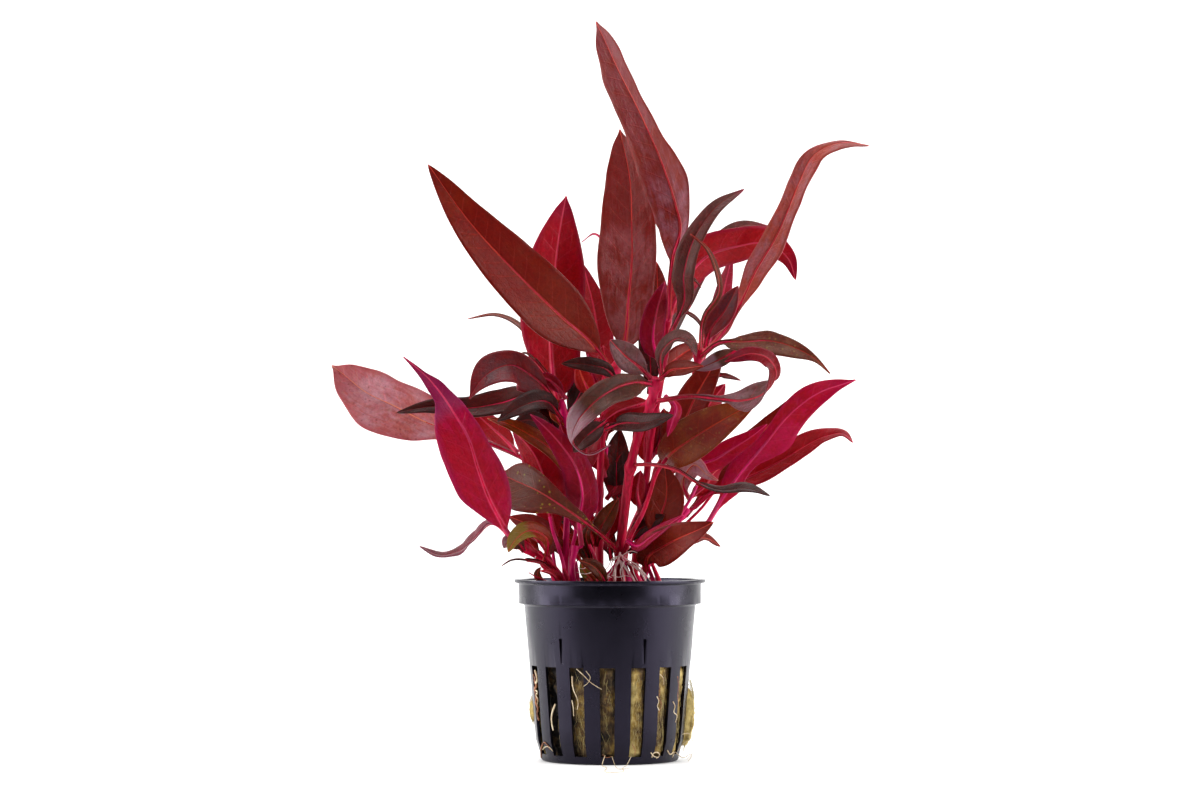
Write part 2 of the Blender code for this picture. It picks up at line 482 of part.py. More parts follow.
def smooth_route(points, count):
    """That many points, evenly spaced along a smooth curve through the given ones."""
    points = [Vector(point) for point in points]
    steps = [points[i + 1] - points[i] for i in range(len(points) - 1)]
    heads = []
    for i, _ in enumerate(points):
        before = steps[max(i - 1, 0)]
        after = steps[min(i, len(steps) - 1)]
        heads.append((before.normalized() * after.length + after.normalized() * before.length).normalized())
    fine = []
    for i, step in enumerate(steps):
        reach = step.length / 3
        a, b = points[i], points[i] + heads[i] * reach
        c, d = points[i + 1] - heads[i + 1] * reach, points[i + 1]
        for k in range(CURVE_POINTS):
            t = k / CURVE_POINTS
            fine.append(a * (1 - t) ** 3 + b * 3 * t * (1 - t) ** 2 + c * 3 * t * t * (1 - t) + d * t ** 3)
    fine.append(points[-1])
    lengths = [0.0]
    for a, b in zip(fine, fine[1:]):
        lengths.append(lengths[-1] + (b - a).length)
    even = []
    piece = 0
    for i in range(count):
        want = lengths[-1] * i / (count - 1)
        while piece < len(fine) - 2 and lengths[piece + 1] < want:
            piece += 1
        share = (want - lengths[piece]) / (lengths[piece + 1] - lengths[piece])
        even.append(fine[piece].lerp(fine[piece + 1], share))
    return even


def stem_route(stem, count):
    x, y, _ = stem.route[0]
    return smooth_route(((x, y, STEM_FOOT), *stem.route), count)


def stem_at(stem, height):
    """The stem's middle and radius where it passes a height."""
    route = stem_route(stem, STEM_PLACES)
    index = min(range(len(route)), key=lambda i: abs(route[i].z - height))
    share = index / (len(route) - 1)
    return route[index], stem.foot_radius + share * (stem.tip_radius - stem.foot_radius)


def make_stem(name, stem, parts, material):
    curve = bpy.data.curves.new(name, "CURVE")
    curve.dimensions = "3D"
    curve.bevel_depth = MM
    curve.bevel_resolution = STEM_BEVEL_RESOLUTION
    curve.use_fill_caps = True
    route = stem_route(stem, STEM_POINTS)
    spline = curve.splines.new("POLY")
    spline.points.add(len(route) - 1)
    for i, (point, place) in enumerate(zip(spline.points, route)):
        point.co = (*(place * MM), 1)
        share = i / (len(route) - 1)
        point.radius = stem.foot_radius + share * (stem.tip_radius - stem.foot_radius)
    new_object(name, curve, parts, material)


def between(values, share):
    """The value at a share of the way along a row of evenly spaced ones."""
    place = share * (len(values) - 1)
    index = min(int(place), len(values) - 2)
    return values[index] + (place - index) * (values[index + 1] - values[index])


def half_width(name, leaf, along, side):
    """The blade's width on one side of the midrib at a share of the way from root to tip."""
    if name in OUTLINES:
        return between(OUTLINES[name][side > 0], along)
    if along < leaf.stalk:
        return PETIOLE_WIDTH / 2
    if along < leaf.broadest:
        share = (along - leaf.stalk) / (leaf.broadest - leaf.stalk)
        start, spread = PETIOLE_WIDTH, math.sin(share * math.pi / 2) ** 0.9
    else:
        share = (along - leaf.broadest) / (1 - leaf.broadest)
        start, spread = TIP_WIDTH, math.cos(share * math.pi / 2) ** 0.8
    return (start + (leaf.width - start) * spread) / 2


def leaf_route(leaf, count):
    """The midrib, which starts just off the side of its stem."""
    middle, radius = stem_at(STEMS[leaf.stem], leaf.height)
    aside = Vector(leaf.route[0]) - middle
    aside.z = 0
    root = middle + aside.normalized() * (radius + GAP + PETIOLE_WIDTH / 2)
    return smooth_route((root, *leaf.route), count)


def leaf_frames(leaf, route):
    """For each point of the midrib, the direction across the leaf and the one out of its upper side."""
    side = 1 if route[-1].x < route[0].x else -1
    frames = []
    for i, _ in enumerate(route):
        ahead = (route[min(i + 1, len(route) - 1)] - route[max(i - 1, 0)]).normalized()
        share = i / (len(route) - 1)
        turn = math.radians(between(leaf.turn, share))
        front = Vector((0, -1, 0))
        front = (front - ahead * front.dot(ahead)).normalized()
        upper = front * math.cos(turn) + ahead.cross(front) * side * math.sin(turn)
        frames.append((ahead.cross(upper), upper))
    return frames


def make_leaf(name, leaf, parts, material):
    route = leaf_route(leaf, MIDRIB_PLACES + 1)
    frames = leaf_frames(leaf, route)
    length = sum((b - a).length for a, b in zip(route, route[1:]))
    rows = max(FEWEST_ROWS, min(MOST_ROWS, round(length / LEAF_ROW_LENGTH)))
    shape = bmesh.new()
    bmesh.ops.create_grid(shape, x_segments=rows, y_segments=2, size=1.0)
    for vert in shape.verts:
        along = (vert.co.x + 1) / 2
        index = round(along * MIDRIB_PLACES)
        across, upper = frames[index]
        out = vert.co.y * half_width(name, leaf, along, vert.co.y)
        vert.co = route[index] + across * out + upper * abs(out) * LEAF_FOLD
    leaf_object = new_object(name, mesh_from(name, shape), parts, material)
    solidify = leaf_object.modifiers.new("thickness", "SOLIDIFY")
    solidify.thickness = LEAF_THICKNESS * MM
    solidify.offset = 0.0


def main():
    clear_scene()
    parts = new_collection("alternanthera_reineckii")
    cutters = new_collection("cutters")
    make_pot(parts, cutters)
    make_wool(parts, cutters)
    colours = {piece.colour for piece in (*STEMS.values(), *LEAVES.values())}
    materials = {colour: new_material(colour) for colour in sorted(colours)}
    for name, stem in STEMS.items():
        make_stem(name, stem, parts, materials[stem.colour])
    for name, leaf in LEAVES.items():
        make_leaf(name, leaf, parts, materials[leaf.colour])


main()
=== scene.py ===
"""The looks of a bunch of Alternanthera reineckii in its net pot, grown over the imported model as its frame.

Sizes and places are in millimetres, in the frame's own axes: +Z up, -Y towards the viewer.
"""

import math
import random
from collections import namedtuple

import bpy
from mathutils import Matrix, Vector, noise


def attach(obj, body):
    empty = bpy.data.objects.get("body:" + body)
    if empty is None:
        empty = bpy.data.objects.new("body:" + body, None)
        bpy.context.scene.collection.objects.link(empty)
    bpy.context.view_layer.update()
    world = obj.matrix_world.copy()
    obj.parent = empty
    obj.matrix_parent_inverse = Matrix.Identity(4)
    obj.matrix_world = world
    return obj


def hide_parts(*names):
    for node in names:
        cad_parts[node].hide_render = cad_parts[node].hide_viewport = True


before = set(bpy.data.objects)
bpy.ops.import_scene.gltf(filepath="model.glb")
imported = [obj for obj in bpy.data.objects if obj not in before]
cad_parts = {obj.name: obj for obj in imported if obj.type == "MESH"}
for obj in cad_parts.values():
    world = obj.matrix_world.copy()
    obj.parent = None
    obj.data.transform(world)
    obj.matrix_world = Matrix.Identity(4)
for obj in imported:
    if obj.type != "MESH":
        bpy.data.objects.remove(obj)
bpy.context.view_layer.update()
bpy.ops.object.select_all(action="DESELECT")
random.seed(5)


# The studio: white paper under and behind the pot, two wide soft boxes that the black pot reflects at its
# sides, weaker ones in front and overhead, and one on the paper behind. The camera stands a metre away,
# level with the lowest leaves, and looks up a little.
MM = 0.001
CAMERA_PLACE = (-2.9, -1000, 75)
CAMERA_LENS = 102.5
CAMERA_PITCH = 1.724
SWEEP_FRONT = -160
SWEEP_BACK = 1300
SWEEP_WIDTH = 4400
SWEEP_HEIGHT = 2200
SWEEP_BEND = 500
SWEEP_BEND_STEPS = 24
SWEEP_DROP = 0.1
# By light: its place, the point that it faces, its width and height, and its power in watts.
SOFT_BOXES = {
    "soft_box_left": ((-1000, -160, 330), (0, 0, 90), (1150, 750), 18),
    "soft_box_right": ((980, -200, 310), (0, 0, 90), (1100, 720), 17),
    "soft_box_front": ((-150, -750, 1500), (0, 0, 110), (900, 500), 8),
    "soft_box_top": ((0, -100, 1100), (0, 0, 100), (1000, 900), 3),
    "sweep_light": ((0, 600, 1900), (0, 1200, 300), (2400, 900), 36),
}
AIR_GLOW = 0.02


def linear(hex_colour):
    """An sRGB hex value as a linear colour."""
    parts = [int(hex_colour[i:i + 2], 16) / 255 for i in (1, 3, 5)]
    return (*[p / 12.92 if p <= 0.04045 else ((p + 0.055) / 1.055) ** 2.4 for p in parts], 1)


def add(tree, kind, links, **settings):
    """A new node. Its settings are its properties, and links gives each input a value or the node that
    feeds it."""
    made = tree.nodes.new("ShaderNode" + kind)
    for name, value in settings.items():
        setattr(made, name, value)
    for socket, source in links.items():
        if isinstance(source, bpy.types.Node):
            source = source.outputs[0]
        if isinstance(source, bpy.types.NodeSocket):
            tree.links.new(source, made.inputs[socket])
        else:
            made.inputs[socket].default_value = source
    return made


def new_material(name, **values):
    """A Principled material with the constant values on the shader's own sockets."""
    material = bpy.data.materials.new(name)
    material.use_nodes = True
    shader = material.node_tree.nodes["Principled BSDF"]
    for socket, value in values.items():
        shader.inputs[socket.replace("_", " ")].default_value = value
    return material, material.node_tree, shader


def feed(tree, shader, **nodes):
    """Links each node to the shader's socket of that name."""
    for socket, node in nodes.items():
        tree.links.new(node.outputs[0], shader.inputs[socket.replace("_", " ")])


def edit_edges(mesh, wanted):
    """Edit mode, with only the edges selected whose two ends both pass the test."""
    bpy.ops.object.mode_set(mode="EDIT")
    bpy.ops.mesh.select_mode(type="EDGE")
    bpy.ops.mesh.select_all(action="DESELECT")
    bpy.ops.object.mode_set(mode="OBJECT")
    for edge in mesh.edges:
        edge.select = all(wanted(mesh.vertices[index].co) for index in edge.vertices)
    bpy.ops.object.mode_set(mode="EDIT")


bpy.ops.mesh.primitive_plane_add(size=1)
sweep = bpy.context.object
sweep.name = "paper_sweep"
for vert in sweep.data.vertices:
    depth = SWEEP_BACK if vert.co.y > 0 else SWEEP_FRONT
    vert.co = Vector((vert.co.x * SWEEP_WIDTH, depth, -SWEEP_DROP)) * MM
edit_edges(sweep.data, lambda corner: corner.y > (SWEEP_BACK - 1) * MM)
bpy.ops.mesh.extrude_region_move(TRANSFORM_OT_translate={"value": (0, 0, SWEEP_HEIGHT * MM)})
bpy.ops.object.mode_set(mode="OBJECT")
edit_edges(sweep.data, lambda corner: corner.y > (SWEEP_BACK - 1) * MM and abs(corner.z) < MM)
bpy.ops.mesh.bevel(offset=SWEEP_BEND * MM, segments=SWEEP_BEND_STEPS)
bpy.ops.object.mode_set(mode="OBJECT")
bpy.ops.object.shade_smooth()
# Background paper is matt and all but white, with tones that drift over a few centimetres.
paper, tree, shader = new_material("white_background_paper", Roughness=0.9)
grain = add(tree, "TexNoise", {"Scale": 60.0, "Detail": 3.0})
shade = add(tree, "MixRGB", {0: grain, 1: linear("#f4f4f4"), 2: linear("#fafafa")})
feed(tree, shader, Base_Color=shade)
sweep.data.materials.append(paper)

for name, (place, aim, size, power) in SOFT_BOXES.items():
    bpy.ops.object.light_add(type="AREA", location=[value * MM for value in place])
    light = bpy.context.object
    light.name = name
    light.data.shape = "RECTANGLE"
    light.data.size = size[0] * MM
    light.data.size_y = size[1] * MM
    light.data.energy = power
    towards = Vector(aim) - Vector(place)
    light.rotation_euler = towards.to_track_quat("-Z", "Y").to_euler()

world = bpy.data.worlds.new("studio_air")
bpy.context.scene.world = world
world.use_nodes = True
air = world.node_tree.nodes["Background"]
air.inputs["Color"].default_value = linear("#ffffff")
air.inputs["Strength"].default_value = AIR_GLOW

bpy.ops.object.camera_add(location=[value * MM for value in CAMERA_PLACE])
camera = bpy.context.object
camera.rotation_euler = (math.radians(90 + CAMERA_PITCH), 0, 0)
camera.data.lens = CAMERA_LENS
camera.data.clip_start = 0.01
camera.data.clip_end = 20
bpy.context.scene.camera = camera
bpy.context.scene.view_settings.view_transform = "Standard"


# The net pot: one thin moulding of black polypropylene, with a flared lip on a collar, ribs with windows
# between them for the roots, and short grooves that keep stacked pots apart. Its foot has a fine knurl.
POT_STEPS = 192
# Radius and height, up the outside and down the inside.
POT_PROFILE_OUT = (
    (19.2, 0), (19.7, 0.25), (19.9, 0.9), (20.3, 2.0), (21.2, 4.9), (21.6, 6.0), (22.0, 10.0), (23.0, 22.0),
    (23.5, 27.8), (24.2, 36.0), (25.0, 45.0), (25.4, 45.5), (26.6, 45.7), (26.62, 49.0), (26.65, 51.3),
    (26.9, 51.6), (27.8, 51.75), (27.95, 52.2), (27.85, 52.65))
POT_PROFILE_IN = (
    (26.0, 52.7), (25.75, 52.3), (25.7, 46.2), (24.4, 45.6), (24.1, 45.0), (22.6, 27.8), (20.7, 6.0),
    (19.3, 1.4), (18.9, 1.2))
KNURL_DEPTH = 0.16
KNURL_RADIUS, KNURL_TOP = 19, 0.95
# The windows, slits and grooves are cut by blocks, whose sizes are depth, width and height, and whose
# places are radius and height.
SLOTS = 16
FIRST_SLOT = -2
SLOT_TOP, SLOT_FOOT = 27.8, 2.2
SLOT_WIDTH_TOP, SLOT_WIDTH_FOOT = 4.5, 3.8
SLOT_RADIUS, SLOT_DEPTH = 23, 14
FLOOR_SLITS = 8
FLOOR_SLIT = (9.5, 2.4, 8)
FLOOR_SLIT_PLACE = (11.8, 0)
NOTCHES = 6
FIRST_NOTCH = -36
NOTCH = (1.6, 1.1, 7.1)
NOTCH_FOOT_WIDTH = 0.7
NOTCH_PLACE = (24.15, 32.5)
EDGE_ROUNDING = 0.14


def finish_piece(piece, name, material):
    """Names the piece, gives it its material and slot, and makes it ride on the pot and plant's one
    body."""
    piece.name = name
    piece.data.name = name
    if material:
        piece.data.materials.append(material)
    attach(piece, "root")
    piece.select_set(False)
    return piece


def only(*pieces):
    """Selects these objects alone and makes the first the active one."""
    bpy.ops.object.select_all(action="DESELECT")
    for piece in pieces:
        piece.select_set(True)
    bpy.context.view_layer.objects.active = pieces[0]


def block(angle, middle, size, foot_width=None):
    """A box on a radius of the pot, at an angle in degrees from the front. Its foot can be narrower."""
    bpy.ops.mesh.primitive_cube_add(size=1)
    made = bpy.context.object
    radius, height = middle
    depth, width, tall = size
    for vert in made.data.vertices:
        across = vert.co.x * (foot_width if foot_width and vert.co.z < 0 else width)
        vert.co = Vector((across, -radius + vert.co.y * depth, height + vert.co.z * tall)) * MM
    made.data.transform(Matrix.Rotation(math.radians(angle), 4, "Z"))
    return made


bpy.ops.mesh.primitive_circle_add(vertices=POT_STEPS, radius=POT_PROFILE_OUT[0][0] * MM, fill_type="NGON")
pot = bpy.context.object
bpy.ops.object.mode_set(mode="EDIT")
bpy.ops.mesh.flip_normals()
radius, height = POT_PROFILE_OUT[0]
for next_radius, next_height in (*POT_PROFILE_OUT[1:], *POT_PROFILE_IN):
    bpy.ops.mesh.extrude_region_move(TRANSFORM_OT_translate={"value": (0, 0, (next_height - height) * MM)})
    share = next_radius / radius
    bpy.ops.transform.resize(value=(share, share, 1), center_override=(0, 0, 0))
    radius, height = next_radius, next_height
bpy.ops.object.mode_set(mode="OBJECT")
for vert in pot.data.vertices:
    around = math.atan2(vert.co.x, -vert.co.y)
    in_knurl = vert.co.z < KNURL_TOP * MM and math.hypot(vert.co.x, vert.co.y) > KNURL_RADIUS * MM
    if in_knurl and round(around / math.tau * POT_STEPS) % 2:
        vert.co.x += math.sin(around) * KNURL_DEPTH * MM
        vert.co.y -= math.cos(around) * KNURL_DEPTH * MM
bpy.ops.object.mode_set(mode="EDIT")
bpy.ops.mesh.select_all(action="SELECT")
bpy.ops.mesh.normals_make_consistent(inside=False)
bpy.ops.object.mode_set(mode="OBJECT")

cutters = []
slot_place = (SLOT_RADIUS, (SLOT_TOP + SLOT_FOOT) / 2)
slot_size = (SLOT_DEPTH, SLOT_WIDTH_TOP, SLOT_TOP - SLOT_FOOT)
for index in range(SLOTS):
    cutters.append(block(FIRST_SLOT + index * 360 / SLOTS, slot_place, slot_size, SLOT_WIDTH_FOOT))
for index in range(FLOOR_SLITS):
    cutters.append(block((index + 0.5) * 360 / FLOOR_SLITS, FLOOR_SLIT_PLACE, FLOOR_SLIT))
for index in range(NOTCHES):
    cutters.append(block(FIRST_NOTCH + index * 360 / NOTCHES, NOTCH_PLACE, NOTCH, NOTCH_FOOT_WIDTH))
only(*cutters)
bpy.ops.object.join()
cutter = bpy.context.object
only(pot)
cut = pot.modifiers.new("windows", "BOOLEAN")
cut.operation = "DIFFERENCE"
cut.object = cutter
cut.use_self = True
bpy.ops.object.modifier_apply(modifier=cut.name)
bpy.data.objects.remove(cutter)
rounding = pot.modifiers.new("moulded_edges", "BEVEL")
rounding.width = EDGE_ROUNDING * MM
rounding.segments = 2
rounding.limit_method = "ANGLE"
rounding.angle_limit = math.radians(50)
bpy.ops.object.modifier_apply(modifier=rounding.name)
bpy.ops.object.shade_smooth_by_angle(angle=math.radians(32))

# Moulded polypropylene shines like satin and keeps the tool's marks: upright draw lines about 1 mm apart
# and a pebble of 0.4 mm. Dried water leaves stains about 8 mm across, which are a little duller.
plastic, tree, shader = new_material("black_polypropylene", IOR=1.49, Metallic=0.0, Specular_IOR_Level=0.3,
                                     Specular_Tint=linear("#dcd0ff"))
place = add(tree, "TexCoord", {}).outputs["Object"]
drawn = add(tree, "Mapping", {0: place, "Scale": (900.0, 900.0, 60.0)})
lines = add(tree, "TexNoise", {"Vector": drawn, "Scale": 1.0, "Detail": 3.0})
pebble = add(tree, "TexNoise", {"Vector": place, "Scale": 2600.0, "Detail": 2.0})
stain = add(tree, "TexNoise", {"Vector": place, "Scale": 120.0, "Detail": 4.0, "Roughness": 0.65})
colour = add(tree, "MixRGB", {0: stain, 1: linear("#040406"), 2: linear("#0c0b10")})
rough = add(tree, "MapRange", {0: stain, 1: 0.3, 2: 0.7, 3: 0.25, 4: 0.35})
relief = add(tree, "Math", {0: lines, 1: pebble}, operation="ADD")
bump = add(tree, "Bump", {"Height": relief, "Strength": 0.22, "Distance": 0.05 * MM})
feed(tree, shader, Base_Color=colour, Roughness=rough, Normal=bump)
finish_piece(pot, "net_pot", plastic)
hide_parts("pot")


# The rock wool: a plug of spun mineral fibre that grips the cuttings' feet, stained ochre and olive by
# months of feeding, and painted darker as shade where it lies deep in its windows. It is the imported block,
# swollen and matted, with loose fibres that stand off it in the windows.
WOOL_VOXEL = 0.55
WOOL_LUMP, WOOL_LUMP_LIMIT = 0.55, 0.32
WOOL_TUFT = 0.18
LUMP_SCALE, TUFT_SCALE, SINK_SCALE = 0.35, 1.7, 0.3
WOOL_INSET = 0.55
WOOL_SURFACE = 1
# By window, the middle and half height of the wool that swells out of it, and how far it stands out.
SWELLINGS = {4: (13.5, 9.5, 2.4), 12: (14.6, 3.4, 1.4)}
# For each window in turn, how pale the wool is there, which is its stain with painted shade where it lies
# deep, and how far it has sunk behind the ribs.
WINDOW_LOOKS = (
    (0.2, 0.5), (0.62, 0.1), (0.42, 0.3), (0.5, 0.2), (0.8, 0.0), (0.6, 0.3), (0.7, 0.2), (0.4, 0.8),
    (0.6, 0.3), (0.75, 0.1), (0.5, 0.5), (0.65, 0.2), (0.8, 0.0), (0.22, 1.3), (0.02, 2.2), (0.3, 0.9))
WOOL_FIBRES = 1500
FIBRE_RADIUS = 0.035
FIBRE_LENGTHS = (1.5, 4.5)
FIBRE_SPREAD = 3.6
FIBRE_LEAN = 0.5
FIBRE_STEPS = 4
FIBRE_SINK = 0.15
FIBRE_RISE, SWELLING_RISE = 0.5, 0.7
# How many fibres there are even where the wool is dark, as a share of those at the palest.
FIBRE_CHANCE = 0.2


def wall_radius(height):
    """The outer radius of the pot's wall at a height under its collar."""
    for (r0, z0), (r1, z1) in zip(POT_PROFILE_OUT, POT_PROFILE_OUT[1:]):
        if z0 <= height <= z1:
            return r0 + (r1 - r0) * (height - z0) / (z1 - z0)
    return POT_PROFILE_OUT[-1][0]


wool = bpy.data.objects.new("rock_wool_plug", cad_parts["rock_wool"].data.copy())
bpy.context.scene.collection.objects.link(wool)
wool.data.materials.clear()
only(wool)
bpy.ops.object.mode_set(mode="EDIT")
bpy.ops.mesh.select_all(action="SELECT")
bpy.ops.mesh.remove_doubles(threshold=0.00001)
bpy.ops.object.mode_set(mode="OBJECT")
matting = wool.modifiers.new("matting", "REMESH")
matting.mode = "VOXEL"
matting.voxel_size = WOOL_VOXEL * MM
bpy.ops.object.modifier_apply(modifier=matting.name)
normals = [vert.normal.copy() for vert in wool.data.vertices]
# Each point takes the paleness of its window: its stain, with painted shade where the wool lies deep.
tone_and_shade = wool.data.attributes.new("tone_and_shade", "FLOAT", "POINT")
for vert, normal in zip(wool.data.vertices, normals):
    spot = vert.co / MM
    around = math.degrees(math.atan2(spot.x, -spot.y))
    window = round((around - FIRST_SLOT) * SLOTS / 360) % SLOTS
    pale, sunk = WINDOW_LOOKS[window]
    tone_and_shade.data[vert.index].value = pale
    lump = noise.fractal(spot * LUMP_SCALE, 1.0, 2.0, 3) * WOOL_LUMP
    lump += noise.noise(spot * TUFT_SCALE) * WOOL_TUFT
    vert.co += normal * min(lump, WOOL_LUMP_LIMIT) * MM
    radius = math.hypot(spot.x, spot.y)
    if spot.z < SLOT_TOP and radius > wall_radius(max(spot.z, 0)) - WOOL_INSET - WOOL_SURFACE:
        uneven = 1 + noise.noise(spot * SINK_SCALE)
        inwards = Vector((-spot.x, -spot.y, 0)) / radius
        vert.co += inwards * sunk * uneven * MM
bpy.ops.object.shade_smooth()

# Mineral fibre is glassy and hair-fine, so a plug of it scatters light softly and looks streaked along
# the fibres. The streaks are drawn 0.7 mm wide and 4 mm long, coarser than the fibres, so that they show.
felt, tree, shader = new_material("matted_rock_wool", IOR=1.5, Metallic=0.0, Roughness=0.9)
place = add(tree, "TexCoord", {}).outputs["Object"]
spun = add(tree, "Mapping", {0: place, "Scale": (1500.0, 1500.0, 260.0), "Rotation": (0.25, 0.1, 0)})
fibres = add(tree, "TexNoise", {"Vector": spun, "Scale": 1.0, "Detail": 5.0, "Roughness": 0.7,
                                "Distortion": 1.2})
stain = add(tree, "TexNoise", {"Vector": place, "Scale": 150.0, "Detail": 5.0, "Roughness": 0.65})
# The ramp runs from near black to pale ochre: the stain, with painted shade in the deep windows.
pale = add(tree, "Attribute", {}, attribute_name="tone_and_shade").outputs["Fac"]
spread = add(tree, "Math", {0: stain, 1: 2.6, 2: -1.3}, operation="MULTIPLY_ADD")
washed = add(tree, "Math", {0: spread, 1: pale}, operation="ADD", use_clamp=True)
ramp = add(tree, "ValToRGB", {0: washed})
ramp.color_ramp.elements[0].color = linear("#120b06")
ramp.color_ramp.elements[1].color = linear("#c2ab6a")
ramp.color_ramp.elements.new(0.32).color = linear("#4a3216")
ramp.color_ramp.elements.new(0.62).color = linear("#86692a")
light = add(tree, "MapRange", {0: fibres, 1: 0.45, 2: 0.75, 4: 0.5})
lighter = add(tree, "Math", {0: light, 1: washed}, operation="MULTIPLY")
colour = add(tree, "MixRGB", {0: lighter, 1: ramp, 2: linear("#d8c88c")})
bump = add(tree, "Bump", {"Height": fibres, "Strength": 0.9, "Distance": 0.5 * MM})
feed(tree, shader, Base_Color=colour, Normal=bump)
finish_piece(wool, "rock_wool_plug", felt)
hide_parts("rock_wool")


def strands(name, routes, sides=4):
    """Thin strands as one mesh. Each route is a list of points with the strand's radius at each."""
    curve = bpy.data.curves.new(name, "CURVE")
    curve.dimensions = "3D"
    curve.bevel_depth = MM
    curve.bevel_resolution = (sides - 4) // 2
    curve.use_fill_caps = True
    for route in routes:
        spline = curve.splines.new("POLY")
        spline.points.add(len(route) - 1)
        for point, (place, radius) in zip(spline.points, route):
            point.co = (*(Vector(place) * MM), 1)
            point.radius = radius
    made = bpy.data.objects.new(name, curve)
    bpy.context.scene.collection.objects.link(made)
    only(made)
    bpy.ops.object.convert(target="MESH")
    bpy.ops.object.mode_set(mode="EDIT")
    bpy.ops.mesh.select_all(action="SELECT")
    bpy.ops.mesh.remove_doubles(threshold=0.000001)
    bpy.ops.object.mode_set(mode="OBJECT")
    bpy.ops.object.shade_smooth()
    return bpy.context.object


def around_pot(angle, radius, height):
    """A place by its angle round the pot, in degrees from the front, its radius and its height."""
    return Vector((math.sin(math.radians(angle)) * radius, -math.cos(math.radians(angle)) * radius, height))


def wool_fibre(angle, radius, height, length, rise):
    """A hair-fine fibre that bows out of the wool, with both ends in it."""
    lean = random.uniform(-FIBRE_LEAN, FIBRE_LEAN)
    bow = random.uniform(0.1, rise)
    route = []
    for step in range(FIBRE_STEPS + 1):
        share = step / FIBRE_STEPS
        up = (share - 0.5) * length
        out = radius + bow * math.sin(share * math.pi) - FIBRE_SINK
        turn = math.degrees(up * math.sin(lean) / radius)
        route.append((around_pot(angle + turn, out, height + up * math.cos(lean)), FIBRE_RADIUS))
    return route


routes = []
for _ in range(WOOL_FIBRES):
    window = random.choice((*range(SLOTS), *SWELLINGS, *SWELLINGS))
    height = random.uniform(SLOT_FOOT + 2, SLOT_TOP - 2)
    angle = FIRST_SLOT + window * 360 / SLOTS + random.uniform(-FIBRE_SPREAD, FIBRE_SPREAD)
    pale, sunk = WINDOW_LOOKS[window]
    radius = wall_radius(height) - WOOL_INSET - sunk
    if window in SWELLINGS:
        middle, half, out = SWELLINGS[window]
        radius += out * max(0.0, 1 - ((height - middle) / half) ** 2) ** 0.5
    elif random.random() > pale + FIBRE_CHANCE:
        continue
    rise = SWELLING_RISE if window in SWELLINGS else FIBRE_RISE
    routes.append(wool_fibre(angle, radius, height, random.uniform(*FIBRE_LENGTHS), rise))
fuzz = strands("wool_fibres", routes)

# A loose fibre is a bright hair against the stained plug, paler at some places than others.
pale_fibre, tree, shader = new_material("loose_mineral_fibre", Roughness=0.6, IOR=1.5)
place = add(tree, "TexCoord", {}).outputs["Object"]
tone = add(tree, "TexNoise", {"Vector": place, "Scale": 700.0, "Detail": 2.0})
colour = add(tree, "MixRGB", {0: tone, 1: linear("#6d5a24"), 2: linear("#cdbb80")})
feed(tree, shader, Base_Color=colour)
finish_piece(fuzz, "wool_fibres", pale_fibre)


# Roots of the cuttings have grown through the plug: old ones brown, young ones pale. They lie over the
# wool and the ribs. Each has its kind, its radius at its foot and its tip, how far its middle lies
# outside the wall, and its angles and heights.
POT_ROOTS = [
    ("brown", 0.42, 0.3, -0.35, (
        (-70, 26.2), (-69, 25.1), (-73, 23.6), (-70, 22.2), (-75, 20.6), (-71, 18.9), (-75, 17.1),
        (-71, 15.4), (-74, 13.6), (-71, 12))),
    ("pale", 0.3, 0.3, -0.1, ((-69, 26.5), (-67, 25.4), (-66, 24), (-69, 22.8))),
    ("pale", 0.22, 0.15, 0, ((-70, 20.7), (-67, 20.2), (-70, 19.3), (-67, 18.2), (-69, 16.7))),
    ("brown", 0.3, 0.2, -0.3, ((-75, 25.3), (-76, 22.6), (-74, 20), (-75, 16.5))),
    ("pale", 0.3, 0.22, -0.3, ((-45, 17.1), (-48, 15.3), (-50, 13.3), (-50, 11.2), (-49, 9.5))),
    ("pale", 0.22, 0.12, -0.15, (
        (-28, 25.4), (-28, 23.1), (-27, 21.1), (-25, 19.4), (-24, 17.7), (-25, 15.9))),
    ("pale", 0.16, 0.1, -0.1, ((-29, 18.5), (-28, 16.2), (-28, 13.9))),
    ("pale", 0.12, 0.08, 0.2, ((-24, 27.5), (-19, 25.8), (-14, 23.8), (-10, 22.7), (-6, 21.8))),
    ("pale", 0.1, 0.07, 0.25, ((-17, 27), (-14, 25), (-16, 23.5), (-19, 22.6))),
    ("brown", 0.25, 0.15, 0.2, ((-84, 0.8), (-74, 3.1), (-67, 4.8), (-60, 5.8), (-57, 5), (-55, 3.9))),
    ("pale", 0.15, 0.1, 0.2, ((-68, 3.6), (-60, 4.6), (-55, 4.5), (-52, 3.4))),
    ("pale", 0.2, 0.12, 0, ((36, 1.9), (37, 3.1), (41, 3.3), (44, 2.4), (41, 1.5))),
    ("pale", 0.15, 0.1, 0.1, ((34, 3.4), (38, 2.2), (43, 1.8))),
    ("pale", 0.14, 0.1, -0.2, ((35, 26.5), (39, 25.6), (42, 24.4), (42, 22.9))),
    ("brown", 0.16, 0.1, -0.2, ((36, 23), (39, 21.2), (38, 19.3), (41, 17.2), (39, 14.9))),
    ("pale", 0.2, 0.14, -0.1, ((36, 19.6), (38, 18.1), (37, 16.7), (39, 15.5))),
    ("pale", 0.2, 0.12, 0, ((53, 17.8), (56, 16.3), (55, 14.9), (60, 13.4), (58, 11.7))),
    ("brown", 0.2, 0.14, -0.1, ((57, 25), (59, 22.1), (59, 19.5), (61, 16.8))),
    ("pale", 0.2, 0.12, 0.1, ((52, 3.7), (58, 2.4), (64, 2.8), (63, 1.4))),
    ("brown", 0.12, 0.08, 0.1, ((-6, 3.1), (-3, 2.2), (1, 2.5))),
    ("brown", 0.12, 0.08, 0, ((17, 5.9), (20, 4.2), (20, 2.7))),
]
